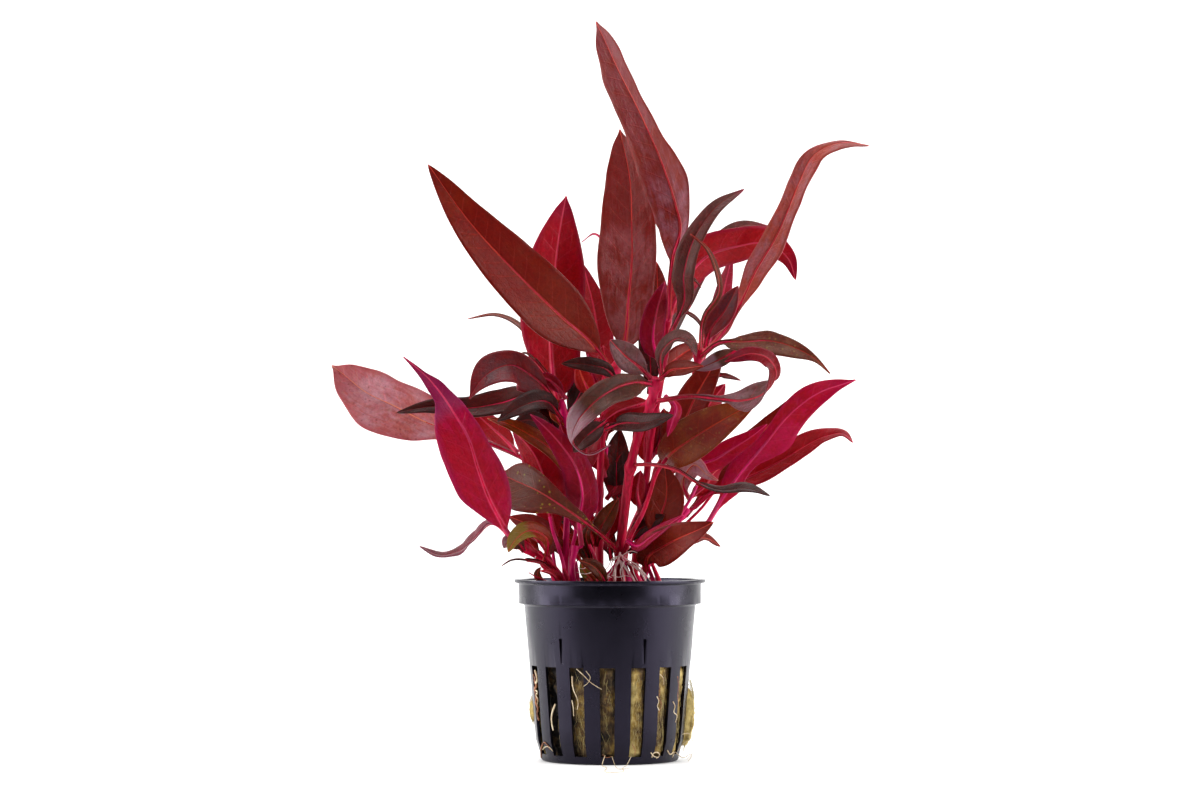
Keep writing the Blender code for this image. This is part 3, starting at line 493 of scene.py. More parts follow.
# Hair roots that come out at the foot: two lie on the ground in front, and three loop clear of the pot at
# the right. Each has its radius at its foot and its tip, and its route.
LOOSE_ROOTS = [
    (0.12, 0.08, (
        (-1.5, -20.8, 2.8), (-2.2, -22.6, 0.8), (-1.2, -30, 0.15), (1.3, -48, 0.15), (3.5, -33, 0.15),
        (5, -23, 0.7), (6, -21.2, 2.6))),
    (0.09, 0.06, ((0.5, -21, 2.6), (1.2, -23, 0.6), (1.8, -30, 0.15), (3.2, -36, 0.15), (5.6, -33, 0.15))),
    (0.11, 0.06, ((19.5, -5, 4.5), (21.5, -5.5, 8), (23.5, -4.5, 7.6), (23.4, -3.5, 4.2), (21.8, -3, 2.5))),
    (0.1, 0.06, ((19.6, -6.5, 3), (22, -7.5, 5.8), (24.6, -6.5, 6), (24.4, -5.5, 3), (22.4, -5.5, 0.6))),
    (0.12, 0.08, ((18.8, -9, 3), (21.2, -10, 1.4), (23.6, -9.5, 2.4), (22.6, -8.5, 0.2))),
]
CURVE_POINTS = 16

# Old roots are corky and brown, young ones the colour of straw. Both darken in bands a few millimetres
# long.
ROOT_SKINS = {}
for name, dark, bright in (("brown", "#4c2414", "#a86a40"), ("pale", "#a88c68", "#e0d0b0")):
    skin, tree, shader = new_material(name + "_root", Roughness=0.5, IOR=1.45)
    place = add(tree, "TexCoord", {}).outputs["Object"]
    tone = add(tree, "TexNoise", {"Vector": place, "Scale": 380.0, "Detail": 4.0, "Roughness": 0.7})
    mix = add(tree, "MapRange", {0: tone, 1: 0.35, 2: 0.65})
    colour = add(tree, "MixRGB", {0: mix, 1: linear(dark), 2: linear(bright)})
    bump = add(tree, "Bump", {"Height": tone, "Strength": 0.6, "Distance": 0.1 * MM})
    feed(tree, shader, Base_Color=colour, Normal=bump)
    ROOT_SKINS[name] = skin


def smooth_route(points, count):
    """That many points, evenly spaced along a smooth curve through the given ones."""
    points = [Vector(point) for point in points]
    steps = [points[i + 1] - points[i] for i in range(len(points) - 1)]
    heads = []
    for i, _ in enumerate(points):
        before = steps[max(i - 1, 0)]
        after = steps[min(i, len(steps) - 1)]
        heads.append((before.normalized() * after.length + after.normalized() * before.length).normalized())
    fine = []
    for i, step in enumerate(steps):
        reach = step.length / 3
        a, b = points[i], points[i] + heads[i] * reach
        c, d = points[i + 1] - heads[i + 1] * reach, points[i + 1]
        for k in range(CURVE_POINTS):
            t = k / CURVE_POINTS
            fine.append(a * (1 - t) ** 3 + b * 3 * t * (1 - t) ** 2 + c * 3 * t * t * (1 - t) + d * t ** 3)
    fine.append(points[-1])
    lengths = [0.0]
    for a, b in zip(fine, fine[1:]):
        lengths.append(lengths[-1] + (b - a).length)
    even = []
    piece = 0
    for i in range(count):
        want = lengths[-1] * i / (count - 1)
        while piece < len(fine) - 2 and lengths[piece + 1] < want:
            piece += 1
        share = (want - lengths[piece]) / (lengths[piece + 1] - lengths[piece])
        even.append(fine[piece].lerp(fine[piece + 1], share))
    return even


def tapered(places, foot, tip):
    """The places with a radius for each that goes evenly from foot to tip."""
    last = len(places) - 1
    return [(place, foot + i / last * (tip - foot)) for i, place in enumerate(places)]


roots = {}
for kind, foot, tip, out, places in POT_ROOTS:
    route = [around_pot(angle, wall_radius(height) + out, height) for angle, height in places]
    roots.setdefault(kind, []).append(tapered(smooth_route(route, 5 * len(route)), foot, tip))
for foot, tip, route in LOOSE_ROOTS:
    places = smooth_route(route, 6 * len(route))
    lying = [Vector((place.x, place.y, max(place.z, foot))) for place in places]
    roots["pale"].append(tapered(lying, foot, tip))
for kind, routes in roots.items():
    finish_piece(strands(kind, routes, sides=6), kind + "_roots_on_pot", ROOT_SKINS[kind])


# The stems: fleshy crimson cuttings, smooth and faintly ribbed, that stand in the wool and lean apart as
# they rise. Each has its radius at its foot and its tip, and its route from the top of the wool.
Stem = namedtuple("Stem", "colour foot_radius tip_radius route")
STEM_FOOT = 38.0
STEM_PLACES = 200
STEMS = {
    "stem_main": Stem("stem_crimson", 1.6, 1.2, (
        (2.5, 0, 47.5), (3, -1, 60.5), (4.5, -4, 74.5), (6, -8, 85.5), (8.5, -10, 95.5), (11.5, -12, 102.5),
        (13.5, -14, 111))),
    "stem_tall": Stem("stem_crimson", 1.3, 0.8, (
        (6.5, 7, 47.5), (7.5, 7, 58), (10, 7, 76), (12.5, 5, 96.5), (15.5, 3, 113.5), (17, 2, 129))),
    "stem_centre": Stem("stem_crimson", 1.3, 0.9, (
        (-3, 3, 47.5), (-3, 3, 58.5), (-3, 1, 76), (-2, -1, 96.5), (0, -2, 108.5), (2.5, -1, 117))),
    "stem_left": Stem("stem_pink", 1.0, 0.8, (
        (-13, 4, 47.5), (-13, 3, 58.5), (-12.5, 3, 71.5), (-11.5, 3, 81.5), (-12.5, 4, 93.5),
        (-14.5, 5, 105.5))),
    "stem_leaning": Stem("stem_crimson", 1.3, 0.9, (
        (-14.5, -7, 47.5), (-16.5, -7, 54.5), (-19.5, -8, 58.5), (-23, -9.5, 61), (-26.5, -11, 63.5))),
    "stem_short": Stem("stem_pink", 0.9, 0.8, (
        (-9.5, -10, 47.5), (-11, -10, 55.5), (-10, -9, 62.5))),
    "stem_right": Stem("stem_pink", 1.0, 0.8, (
        (9, 2, 47.5), (10.5, 3, 56), (13.5, 4, 62), (17.5, 5, 67), (23, 5, 73.5))),
    "stem_slender": Stem("stem_crimson", 1.2, 0.8, (
        (3.5, 13, 47.5), (5, 13, 62.5), (10.5, 11, 76), (15, 9, 86), (19, 6.5, 94.5), (23, 4.5, 105.5),
        (25.5, 3, 114.5), (26.5, 2, 121.5))),
}


def stem_route(stem, count):
    """That many points along the stem's middle, from its foot in the wool."""
    x, y, _ = stem.route[0]
    return smooth_route(((x, y, STEM_FOOT), *stem.route), count)


def stem_at(stem, height):
    """The stem's middle and radius where it passes a height."""
    route = stem_route(stem, STEM_PLACES)
    index = min(range(len(route)), key=lambda i: abs(route[i].z - height))
    share = index / (len(route) - 1)
    return route[index], stem.foot_radius + share * (stem.tip_radius - stem.foot_radius)


def stem_skin(name, deep, bright, pink):
    """A young stem's skin is glassy, and streaked lengthwise with sap red in lines 0.7 mm apart. It is
    paler and pinker in patches about 9 mm long."""
    material, tree, shader = new_material(name, Roughness=0.34, IOR=1.42, Specular_IOR_Level=0.15)
    place = add(tree, "TexCoord", {}).outputs["Object"]
    drawn = add(tree, "Mapping", {0: place, "Scale": (1400.0, 1400.0, 90.0)})
    streaks = add(tree, "TexNoise", {"Vector": drawn, "Scale": 1.0, "Detail": 3.0})
    clouds = add(tree, "TexNoise", {"Vector": place, "Scale": 110.0, "Detail": 3.0})
    mix = add(tree, "MapRange", {0: streaks, 1: 0.35, 2: 0.68})
    colour = add(tree, "MixRGB", {0: mix, 1: linear(deep), 2: linear(bright)})
    pale = add(tree, "MapRange", {0: clouds, 1: 0.52, 2: 0.75, 4: 0.7})
    colour = add(tree, "MixRGB", {0: pale, 1: colour, 2: linear(pink)})
    bump = add(tree, "Bump", {"Height": streaks, "Strength": 0.5, "Distance": 0.12 * MM})
    feed(tree, shader, Base_Color=colour, Normal=bump)
    return material


STEM_SKINS = {
    "stem_crimson": stem_skin("crimson_stem_skin", "#880620", "#bc0c38", "#d02c5c"),
    "stem_pink": stem_skin("pink_stem_skin", "#a80648", "#cc1462", "#dc3c7c"),
}


# The leaves: thin lance-shaped blades on channelled stalks, brick to olive above with a soft grey bloom that
# is partly a painted sheen, and crimson to magenta below. The midrib is sunk above and raised below.
#
# Each has its colour, its stem and the height of its joint there, its width and how far along it is
# broadest, by how many degrees its blade is turned from facing the front, at even steps along it, its
# midrib's route, and how far along its stalk ends.
Leaf = namedtuple("Leaf", "colour stem height width broadest turn route stalk", defaults=(0.1,))
GAP = 0.3
PETIOLE_WIDTH = 1.4
TIP_WIDTH = 0.5
LEAF_FOLD = 0.3
LEAVES = {
    "leaf_main_1": Leaf("leaf_olive", "stem_main", 61.5, 13, 0.72, (10, 10), (
        (-6, -14, 68.5), (-13, -16, 73.5), (-20, -16, 78), (-26.5, -10, 81), (-32, -5, 83.5)), 0.2),
    "leaf_main_2": Leaf("leaf_dusky", "stem_main", 86, 6.5, 0.8, (72, 68), (
        (12.5, -15, 86), (19, -21, 84.5), (25.5, -27, 80.5), (31.5, -31, 78.5), (38.5, -34, 79),
        (45, -36, 77)), 0.5),
    "leaf_main_3": Leaf("leaf_dusky", "stem_main", 104.5, 9, 0.45, (0, 0, 5, 20, 75, 150, 180, 185), (
        (23, -20, 105.5), (31.5, -26, 104.5), (38, -31, 104), (43.5, -35, 106), (46.5, -36, 110.5),
        (45.5, -32, 115), (40.5, -26, 117.5), (33, -21, 115.5)), 0.25),
    "leaf_main_4": Leaf("leaf_dusky", "stem_main", 109, 9, 0.4, (5, 5, 10, 25, 60, 100, 110), (
        (7.5, -22, 109.5), (0.5, -29, 107), (-5.5, -33, 102.5), (-9.5, -33, 97.5), (-10.5, -29, 92),
        (-6.5, -26, 89), (0, -24, 91.5))),
    "leaf_main_5": Leaf("leaf_dusky", "stem_main", 112, 8, 0.55, (10, 10), (
        (8.5, -17, 114), (4.5, -21, 117), (0, -25, 121.5))),
    "leaf_main_6": Leaf("leaf_brick", "stem_main", 110.5, 5, 0.5, (30, 30), (
        (17.5, -20, 113), (22, -24, 113.5), (26.5, -27, 114))),
    "leaf_main_7": Leaf("leaf_dusky", "stem_main", 110.5, 6, 0.5, (50, 50), (
        (15, -13, 118.5), (18.5, -16, 122), (22.5, -22, 121), (24.5, -27, 116.5))),
    "leaf_tall_1": Leaf("leaf_brick", "stem_tall", 129, 16.5, 0.4, (-10, -25, -30, -35, -35), (
        (17.5, -1, 137.5), (18.5, -6, 146.5), (20.5, -10, 155), (19, -12, 161.5), (15, -13, 173.5),
        (9, -11, 187.5), (2, -7, 202), (-4, -2, 216))),
    "leaf_tall_2": Leaf("leaf_crimson", "stem_tall", 124.5, 11.5, 0.5, (150, 165), (
        (18.5, 9, 132.5), (22, 12, 140), (28.5, 15, 148), (37.5, 19, 151.5), (47.5, 22, 152.5),
        (53.5, 24, 148.5), (56, 26, 142))),
    "leaf_tall_3": Leaf("leaf_dusky", "stem_tall", 124, 7, 0.4, (30, 20), (
        (21.5, -5, 133), (21.5, -15, 142), (24, -18, 150.5), (29.5, -18, 159), (39, -12, 166))),
    "leaf_tall_4": Leaf("leaf_magenta", "stem_tall", 115, 8, 0.45, (160, 160), (
        (12.5, -4, 122.5), (13.5, -5, 130.5), (16, -5, 139.5))),
    "leaf_tall_5": Leaf("leaf_brick", "stem_tall", 122.5, 7, 0.5, (20, 20), (
        (14.5, 14, 135), (14, 20, 147))),
    "leaf_tall_6": Leaf("leaf_dusky", "stem_tall", 119, 7, 0.5, (20, 30), (
        (22.5, 26, 136), (31, 34, 151.5), (41, 40, 159.5), (49.5, 44, 159.5))),
    "leaf_centre_1": Leaf("leaf_brick", "stem_centre", 115.5, 18.5, 0.48, (-4, 8), (
        (4.5, 4, 123), (5.5, 7, 135), (6.5, 9, 146), (6.5, 11, 157), (6, 14, 171), (3, 18, 186.5))),
    "leaf_centre_2": Leaf("leaf_brick", "stem_centre", 114, 17.5, 0.36, (5, 10), (
        (-5, -10, 121), (-15, -17, 129.5), (-26, -22, 140), (-40, -27, 155), (-52, -28, 171.5))),
    "leaf_centre_3": Leaf("leaf_crimson", "stem_centre", 105, 9, 0.5, (180, 170), (
        (-3, 14, 120), (-4.5, 22, 132.5), (-8, 30, 147))),
    "leaf_centre_4": Leaf("leaf_magenta", "stem_centre", 113.5, 5, 0.6, (110, 80), (
        (2.5, 16, 132.5), (-1, 26, 151), (-4.5, 30, 156), (-8.5, 34, 154))),
    "leaf_centre_5": Leaf("leaf_dusky", "stem_centre", 96.5, 6, 0.55, (30, 25), (
        (3.5, -12, 98), (10.5, -20, 98), (18, -27, 100))),
    "leaf_centre_6": Leaf("leaf_crimson", "stem_centre", 99.5, 9, 0.5, (20, 20), (
        (-6, -5, 95), (-7, -7, 89), (-7.5, -7, 83))),
    "leaf_left_1": Leaf("leaf_crimson", "stem_left", 104.5, 19, 0.5, (176, 184), (
        (-17, 8, 115), (-17.5, 10, 127.5), (-16.5, 12, 141), (-15, 14, 154.5), (-13, 18, 166.5))),
    "leaf_left_2": Leaf("leaf_dusky", "stem_left", 103, 11, 0.5, (25, 15), (
        (-18.5, 1, 108), (-23.5, -4, 112.5), (-28.5, -8, 115), (-33.5, -12, 113.5), (-37.5, -15, 110),
        (-40.5, -16, 105))),
    "leaf_left_3": Leaf("leaf_dusky", "stem_left", 101, 8, 0.35, (25, 25), (
        (-23.5, 9, 106.5), (-32.5, 12, 104.5), (-42, 11, 103), (-51.5, 9, 103.5), (-63, 6, 101.5))),
    "leaf_left_4": Leaf("leaf_dusky", "stem_left", 99.5, 7, 0.5, (40, 20), (
        (-18.5, -5, 104.5), (-25.5, -12, 103), (-32.5, -16, 98.5))),
    "leaf_left_5": Leaf("leaf_mauve", "stem_left", 83.5, 19, 0.72, (8, 0), (
        (-21, 18, 86), (-30.5, 22, 90.5), (-40.5, 24, 94.5), (-53.5, 26, 98.5), (-64.5, 28, 104),
        (-74.5, 30, 109), (-80, 31, 113.5), (-84, 32, 116.5))),
    "leaf_left_6": Leaf("leaf_olive", "stem_left", 80.5, 5.5, 0.5, (30, 30), (
        (-12.5, -5, 84.5), (-17, -8, 90.5), (-23, -11, 94.5), (-30, -12, 98), (-35.5, -11, 99.5))),
    "leaf_left_7": Leaf("leaf_crimson", "stem_left", 61, 11, 0.5, (180, 180), (
        (-17.5, 1, 71.5), (-18.5, -2, 79.5), (-22, -1, 89), (-28.5, 3, 96.5))),
    "leaf_left_8": Leaf("leaf_dusky", "stem_left", 100, 10, 0.5, (30, 20), (
        (-18, 20, 123.5), (-23, 28, 142), (-29, 32, 156))),
    "leaf_left_9": Leaf("leaf_olive", "stem_left", 96, 3, 0.5, (60, 50), (
        (-21.5, 30, 119.5), (-27.5, 38, 129), (-35, 44, 132.5), (-43.5, 48, 131.5))),
    "leaf_leaning_1": Leaf("leaf_crimson", "stem_leaning", 62.5, 16, 0.42, (180, 180, 182, 186), (
        (-29.5, -18, 66.5), (-31.5, -19.5, 70), (-35, -21, 77), (-38, -23, 85.5),
        (-40.5, -24.5, 93.5), (-44.5, -25, 100.5), (-47.5, -22.5, 105), (-52, -20, 110.5),
        (-59.5, -16, 117))),
    "leaf_leaning_2": Leaf("leaf_crimson", "stem_leaning", 63.5, 6.5, 0.7, (74, 70), (
        (-35, 2, 69), (-40, 10, 64.5), (-45, 17, 60.5), (-51.5, 22, 59.5), (-57, 25, 62))),
    "leaf_leaning_3": Leaf("leaf_olive", "stem_leaning", 58.5, 6, 0.6, (40, 30), (
        (-18, -13, 64), (-22.5, -18, 67), (-27, -24, 64.5), (-29, -28, 61))),
    "leaf_leaning_4": Leaf("leaf_brick", "stem_leaning", 57.5, 7.5, 0.5, (30, 30), (
        (-18.5, -3, 64.5), (-22.5, -3, 68), (-29.5, -2, 71))),
    "leaf_short_1": Leaf("leaf_magenta", "stem_short", 62.5, 9.5, 0.3, (180, 186), (
        (-9, -9, 69.5), (-8, -12, 77.5), (-10, -14, 85.5), (-14, -15, 91.5), (-18.5, -15, 96.5),
        (-23, -14, 100.5))),
    "leaf_right_1": Leaf("leaf_brick", "stem_right", 55, 10.5, 0.5, (-10, 10), (
        (11, -8, 59.5), (15.5, -15, 62.5), (21, -21, 65.5), (25.5, -24, 67.5), (29.5, -25, 69.5))),
    "leaf_right_2": Leaf("leaf_brick", "stem_right", 57.5, 5, 0.55, (60, 50), (
        (24, 12, 63.5), (28.5, 16, 64.5), (33, 19, 62))),
    "leaf_right_3": Leaf("leaf_brick", "stem_right", 62.5, 11.5, 0.5, (0, 10), (
        (14.5, 0, 69.5), (16.5, 0, 76.5), (16, -2, 86))),
    "leaf_right_4": Leaf("leaf_magenta", "stem_right", 60.5, 9, 0.62, (180, 184), (
        (24.5, 2, 64.5), (28.5, 1, 69), (33, 0, 76.5), (38, -3, 83.5), (45, -8, 92), (52, -12, 100.5),
        (59, -14, 106), (71, -13, 110.5))),
    "leaf_right_5": Leaf("leaf_crimson", "stem_right", 73.5, 9, 0.5, (20, 50), (
        (30, 6, 78), (37, 6, 81), (44, 5, 84), (51.5, 3, 88), (57, 1, 91.5), (63, -2, 94.5),
        (68, -5, 95), (70.5, -8, 92.5))),
    "leaf_right_6": Leaf("leaf_magenta", "stem_slender", 84.5, 6.5, 0.5, (180, 170), (
        (22, 5, 86), (30, 2, 87.5), (36, 0, 91), (41.5, -1, 94.5), (46, -1, 98))),
    "leaf_right_7": Leaf("leaf_brick", "stem_right", 71, 7, 0.55, (20, 20), (
        (28.5, 11, 78.5), (33, 12, 85), (41, 12, 92), (48, 10, 99), (53, 8, 105.5))),
    "leaf_slender_1": Leaf("leaf_olive", "stem_slender", 86, 12.5, 0.5, (5, 5), (
        (18, -6, 89.5), (26, -14, 95), (33.5, -19, 99.5), (42, -22, 104))),
    "leaf_slender_2": Leaf("leaf_brick", "stem_slender", 89, 10, 0.45, (10, 10), (
        (21.5, -2, 98), (25, -4, 106), (29, -4, 113), (33, -1, 119.5))),
    "leaf_slender_3": Leaf("leaf_olive", "stem_slender", 118, 8, 0.5, (20, 20), (
        (32.5, -9, 121.5), (39, -14, 121.5), (46.5, -18, 121.5), (54, -21, 119), (59, -22, 116),
        (63, -22, 112))),
    "leaf_slender_4": Leaf("leaf_brick", "stem_slender", 119, 9.5, 0.38, (15, 50), (
        (33, 8, 124.5), (38, 10, 132.5), (43.5, 13, 144), (49.5, 14, 154), (53.5, 14, 163),
        (56.5, 13, 170.5), (61, 12, 178.5), (68, 10, 181.5), (76.5, 7, 180.5))),
    "leaf_slender_5": Leaf("leaf_dusky", "stem_slender", 121, 7, 0.5, (10, 20), (
        (29.5, 1, 125.5), (33.5, 0, 131), (37.5, -2, 138.5))),
    "leaf_slender_6": Leaf("leaf_olive", "stem_slender", 120, 3, 0.5, (50, 50), (
        (27.5, -12, 129.5), (31.5, -16, 136), (30.5, -19, 142), (28, -21, 147.5), (23, -23, 152))),
    "leaf_slender_7": Leaf("leaf_magenta", "stem_slender", 114.5, 5.5, 0.5, (180, 180), (
        (33, 16, 134), (35, 23, 142), (37, 29, 149.5))),
    "leaf_slender_8": Leaf("leaf_crimson", "stem_slender", 93.5, 7, 0.6, (180, 180), (
        (24.5, 12, 98), (28.5, 16, 103), (34.5, 20, 110.5))),
}

# The outlines of the biggest leaves: the blade's width on each side of its midrib, at even steps from
# root to tip.
OUTLINES = {
    "leaf_tall_1": (
        (0.7, 0.7, 0.7, 1.4, 5.6, 6.8, 7, 7.5, 7.6, 7.2, 6.6, 6.2, 6, 5.6, 4.2, 2.7, 0.2),
        (0.7, 0.7, 0.7, 0.5, 1.2, 3.2, 5.4, 7.2, 5.9, 4.2, 3.8, 3.7, 3.9, 4, 3.9, 2.9, 0.2)),
    "leaf_centre_1": (
        (0.7, 0.7, 4, 6, 7.4, 8.8, 9.9, 10.2, 9.9, 9.3, 8.9, 8.3, 7.6, 6.7, 5, 3.1, 0.2),
        (0.7, 0.7, 4.3, 5.7, 6.7, 7.1, 7.1, 7.2, 7.3, 7.2, 7, 6.4, 5.6, 4.5, 3.6, 2.3, 0.2)),
    "leaf_left_5": (
        (0.7, 0.7, 0.7, 0.7, 0.7, 0.7, 1, 1.6, 2.7, 4, 7, 8.9, 9.9, 9.7, 7, 4.8, 0.2),
        (0.7, 0.7, 0.7, 0.7, 0.7, 0.7, 1, 1.6, 2.4, 6, 7.7, 7.9, 7.4, 7.8, 6.9, 4.2, 0.2)),
    "leaf_left_1": (
        (0.7, 4.4, 7.4, 8.4, 8.8, 9, 9.2, 9.4, 9.5, 9.4, 9, 8.2, 7.1, 5.8, 4.2, 2.4, 0.2),
        (0.7, 3.8, 5, 5.9, 7, 8.2, 8.9, 9.3, 9.5, 9.3, 8.9, 8.2, 7.1, 5.8, 4.2, 2.4, 0.2)),
    "leaf_left_2": (
        (0.7, 0.7, 0.9, 1.8, 3.4, 5, 6.3, 7, 7.4, 7.4, 7, 6.2, 5.2, 4, 2.6, 1.2, 0.2),
        (0.7, 0.7, 0.8, 1.4, 2.2, 3, 3.6, 4, 4.2, 4.4, 4.6, 4.8, 4.6, 3.8, 2.6, 1.3, 0.2)),
    "leaf_leaning_1": (
        (0.7, 0.7, 0.8, 4.1, 6.1, 7, 7, 6.2, 5, 4.5, 4, 3.7, 2.8, 2.2, 0.8, 0.5, 0.2),
        (0.7, 0.7, 0.8, 2.9, 5.2, 7.7, 8.4, 8.8, 9.2, 8.8, 7.7, 5.7, 3, 2.4, 1.6, 0.8, 0.2)),
    "leaf_main_1": (
        (0.7, 0.7, 0.7, 0.7, 1.1, 1.1, 1.5, 2, 2.9, 4.5, 7, 8.4, 8.4, 7.6, 6, 3.7, 0.2),
        (0.7, 0.7, 0.7, 0.7, 0.9, 1.2, 1.9, 2.1, 2.6, 3.2, 3.9, 4.8, 5.4, 5.6, 5.2, 3.5, 0.2)),
    "leaf_right_4": (
        (0.7, 0.7, 0.7, 0.7, 0.8, 1.8, 3.1, 2.1, 2.4, 4.4, 6.2, 5.5, 4.7, 4, 3, 1.3, 0.2),
        (0.7, 0.7, 0.7, 0.7, 1, 1.2, 3.1, 4.1, 3.4, 2.7, 2.4, 2.8, 3.6, 3.8, 3.1, 1.9, 0.2)),
    "leaf_slender_3": (
        (0.7, 0.7, 0.7, 0.7, 0.7, 1.1, 1.8, 2.2, 2.5, 2.9, 2.5, 2.2, 1.9, 1.5, 0.9, 0.5, 0.2),
        (0.7, 0.7, 0.7, 0.7, 0.7, 2.1, 2.9, 3.1, 3.7, 4.3, 4.5, 4.2, 3.6, 2.5, 1.1, 0.5, 0.2)),
    "leaf_slender_4": (
        (0.7, 0.7, 0.7, 1.4, 2.1, 2.8, 3.7, 3.9, 4, 3.7, 3.4, 3.4, 3.2, 2.4, 1.5, 0.7, 0.2),
        (0.7, 0.7, 1.4, 1.1, 1.7, 3.4, 4.5, 4.9, 4.1, 3.6, 3.8, 4.2, 5, 5, 4.3, 3.2, 0.2)),
    "leaf_main_3": (
        (0.7, 0.7, 0.7, 0.7, 1.2, 1.2, 2, 3.2, 4.5, 4.6, 3.5, 2.5, 2.5, 2.2, 2, 1.6, 0.2),
        (0.7, 0.7, 0.7, 0.7, 1.2, 1.1, 1.3, 3.1, 5, 4.6, 3.8, 2.5, 2.2, 2, 2, 1.5, 0.2)),
    "leaf_main_4": (
        (0.7, 1.6, 3.1, 4, 4.6, 4.7, 4.1, 4.2, 4.5, 4.6, 4, 3, 1.6, 1.2, 0.9, 0.7, 0.2),
        (0.7, 1.2, 2.2, 2.6, 3.4, 3.5, 4, 4.2, 4, 3.9, 3.4, 2.6, 1.6, 1.2, 0.9, 0.7, 0.2)),
}

# How a leaf differs from a plain one: the skins of its two sides, how full its outline is towards the
# tip, and how far its edge waves and its blade bulges between the veins, in millimetres.
Habit = namedtuple("Habit", "skin taper wave quilt", defaults=(None, 0.8, 0.5, 0.1))
HABITS = {
    "leaf_tall_1": Habit("brick_sheen", quilt=0.2),
    "leaf_tall_3": Habit("grey", wave=0.4),
    "leaf_tall_4": Habit("wine", wave=0.4),
    "leaf_tall_6": Habit("grey", wave=0.4),
    "leaf_centre_1": Habit("red_sheen", wave=0.6, quilt=0.2),
    "leaf_main_1": Habit("spotted"),
    "leaf_main_3": Habit("mauve_grey", wave=0.7, quilt=0.3),
    "leaf_main_4": Habit("olive_dark", wave=0.6, quilt=0.16),
    "leaf_main_5": Habit("mauve_grey", wave=0.3),
    "leaf_main_7": Habit("grey", wave=0.3),
    "leaf_left_2": Habit("grey_red", wave=0.4, quilt=0.16),
    "leaf_left_5": Habit(taper=0.6, quilt=0.22),
    "leaf_left_6": Habit("olive_red", wave=0.3),
    "leaf_slender_1": Habit("olive_red", wave=0.4),
    "leaf_slender_3": Habit("olive_brown"),
    "leaf_slender_4": Habit("sheen", wave=0.4, quilt=0.16),
    "leaf_slender_5": Habit("grey_red", wave=0.4),
    "leaf_slender_7": Habit("wine", wave=0.4),
    "leaf_leaning_1": Habit("purple_tip", wave=0.4),
    "leaf_leaning_2": Habit("wine", wave=0.4),
    "leaf_leaning_3": Habit("olive_tip", wave=0.4),
    "leaf_leaning_4": Habit("red_sheen", wave=0.4),
    "leaf_short_1": Habit("wine", wave=0.4),
    "leaf_right_1": Habit("brick", wave=0.3),
}
BLADE_THICKNESS = 0.32
ROW_STEP = 0.9
COLUMN_STEP = 0.8
COLUMN_CROWDING = 1.3
VEIN_SPACING = 5.5
VEIN_SLOPE = 0.85
VEIN_BOW = 0.03
WAVE_LENGTH = 9.0
CHANNEL_DEPTH, CHANNEL_HALF = 0.2, 0.4
STALK_RADIUS = 0.6
STALK_WRAP = 0.6
STALK_RAISE = 0.2
STALK_FOOT_SWELL, STALK_DEPTH = 1.15, 0.4
# The half widths between which a blade opens flat, and those between which it rolls up into its stalk.
OPEN_FROM, OPEN_TO = 1.0, 2.5
ROLLED_AT, UNROLLED_AT = 0.8, 1.7
ROLL_END = 0.6
RIB_END = 0.62
RIB_TIP, RIB_SWELL, SLIM_RIB_SWELL = 0.14, 0.4, 0.26
RIB_SINK, RIB_SUNK_FROM, RIB_SUNK_OVER = 0.8, 0.8, 1.5
SLIM_LEAF = 4
NARROWEST = 0.08
FOOT_FULLNESS = 0.9
TIP_THINNING = 0.8
LENGTH_STEPS = 60
TINT_STEP = 0.618


def between(values, share):
    """The value at a share of the way along a row of evenly spaced ones, on a smooth curve through
    them."""
    place = share * (len(values) - 1)
    index = min(int(place), len(values) - 2)
    t = place - index
    before, a, b, after = (values[min(max(i, 0), len(values) - 1)] for i in range(index - 1, index + 3))
    cubic = 3 * (a - b) + after - before
    square = 2 * before - 5 * a + 4 * b - after
    return a + 0.5 * t * (b - before + t * (square + t * cubic))


def half_width(name, leaf, habit, along, side):
    """The blade's width on one side of the midrib at a share of the way from root to tip."""
    if name in OUTLINES:
        return max(NARROWEST, between(OUTLINES[name][side > 0], along))
    if along < leaf.stalk:
        return PETIOLE_WIDTH / 2
    if along < leaf.broadest:
        share = (along - leaf.stalk) / (leaf.broadest - leaf.stalk)
        start = PETIOLE_WIDTH
        spread = math.sin(share * math.pi / 2) ** FOOT_FULLNESS
    else:
        share = (along - leaf.broadest) / (1 - leaf.broadest)
        start = TIP_WIDTH * (1 - share * TIP_THINNING)
        spread = math.cos(share * math.pi / 2) ** habit.taper
    return (start + (leaf.width - start) * spread) / 2


def leaf_frames(leaf, route):
    """For each point of the midrib, the direction across the leaf and the one out of its upper side."""
    side = 1 if route[-1].x < route[0].x else -1
    frames = []
    for i, _ in enumerate(route):
        ahead = (route[min(i + 1, len(route) - 1)] - route[max(i - 1, 0)]).normalized()
        share = i / (len(route) - 1)
        turn = math.radians(between(leaf.turn, share))
        front = Vector((0, -1, 0))
        front = (front - ahead * front.dot(ahead)).normalized()
        upper = front * math.cos(turn) + ahead.cross(front) * side * math.sin(turn)
        frames.append((ahead.cross(upper), upper))
    return frames


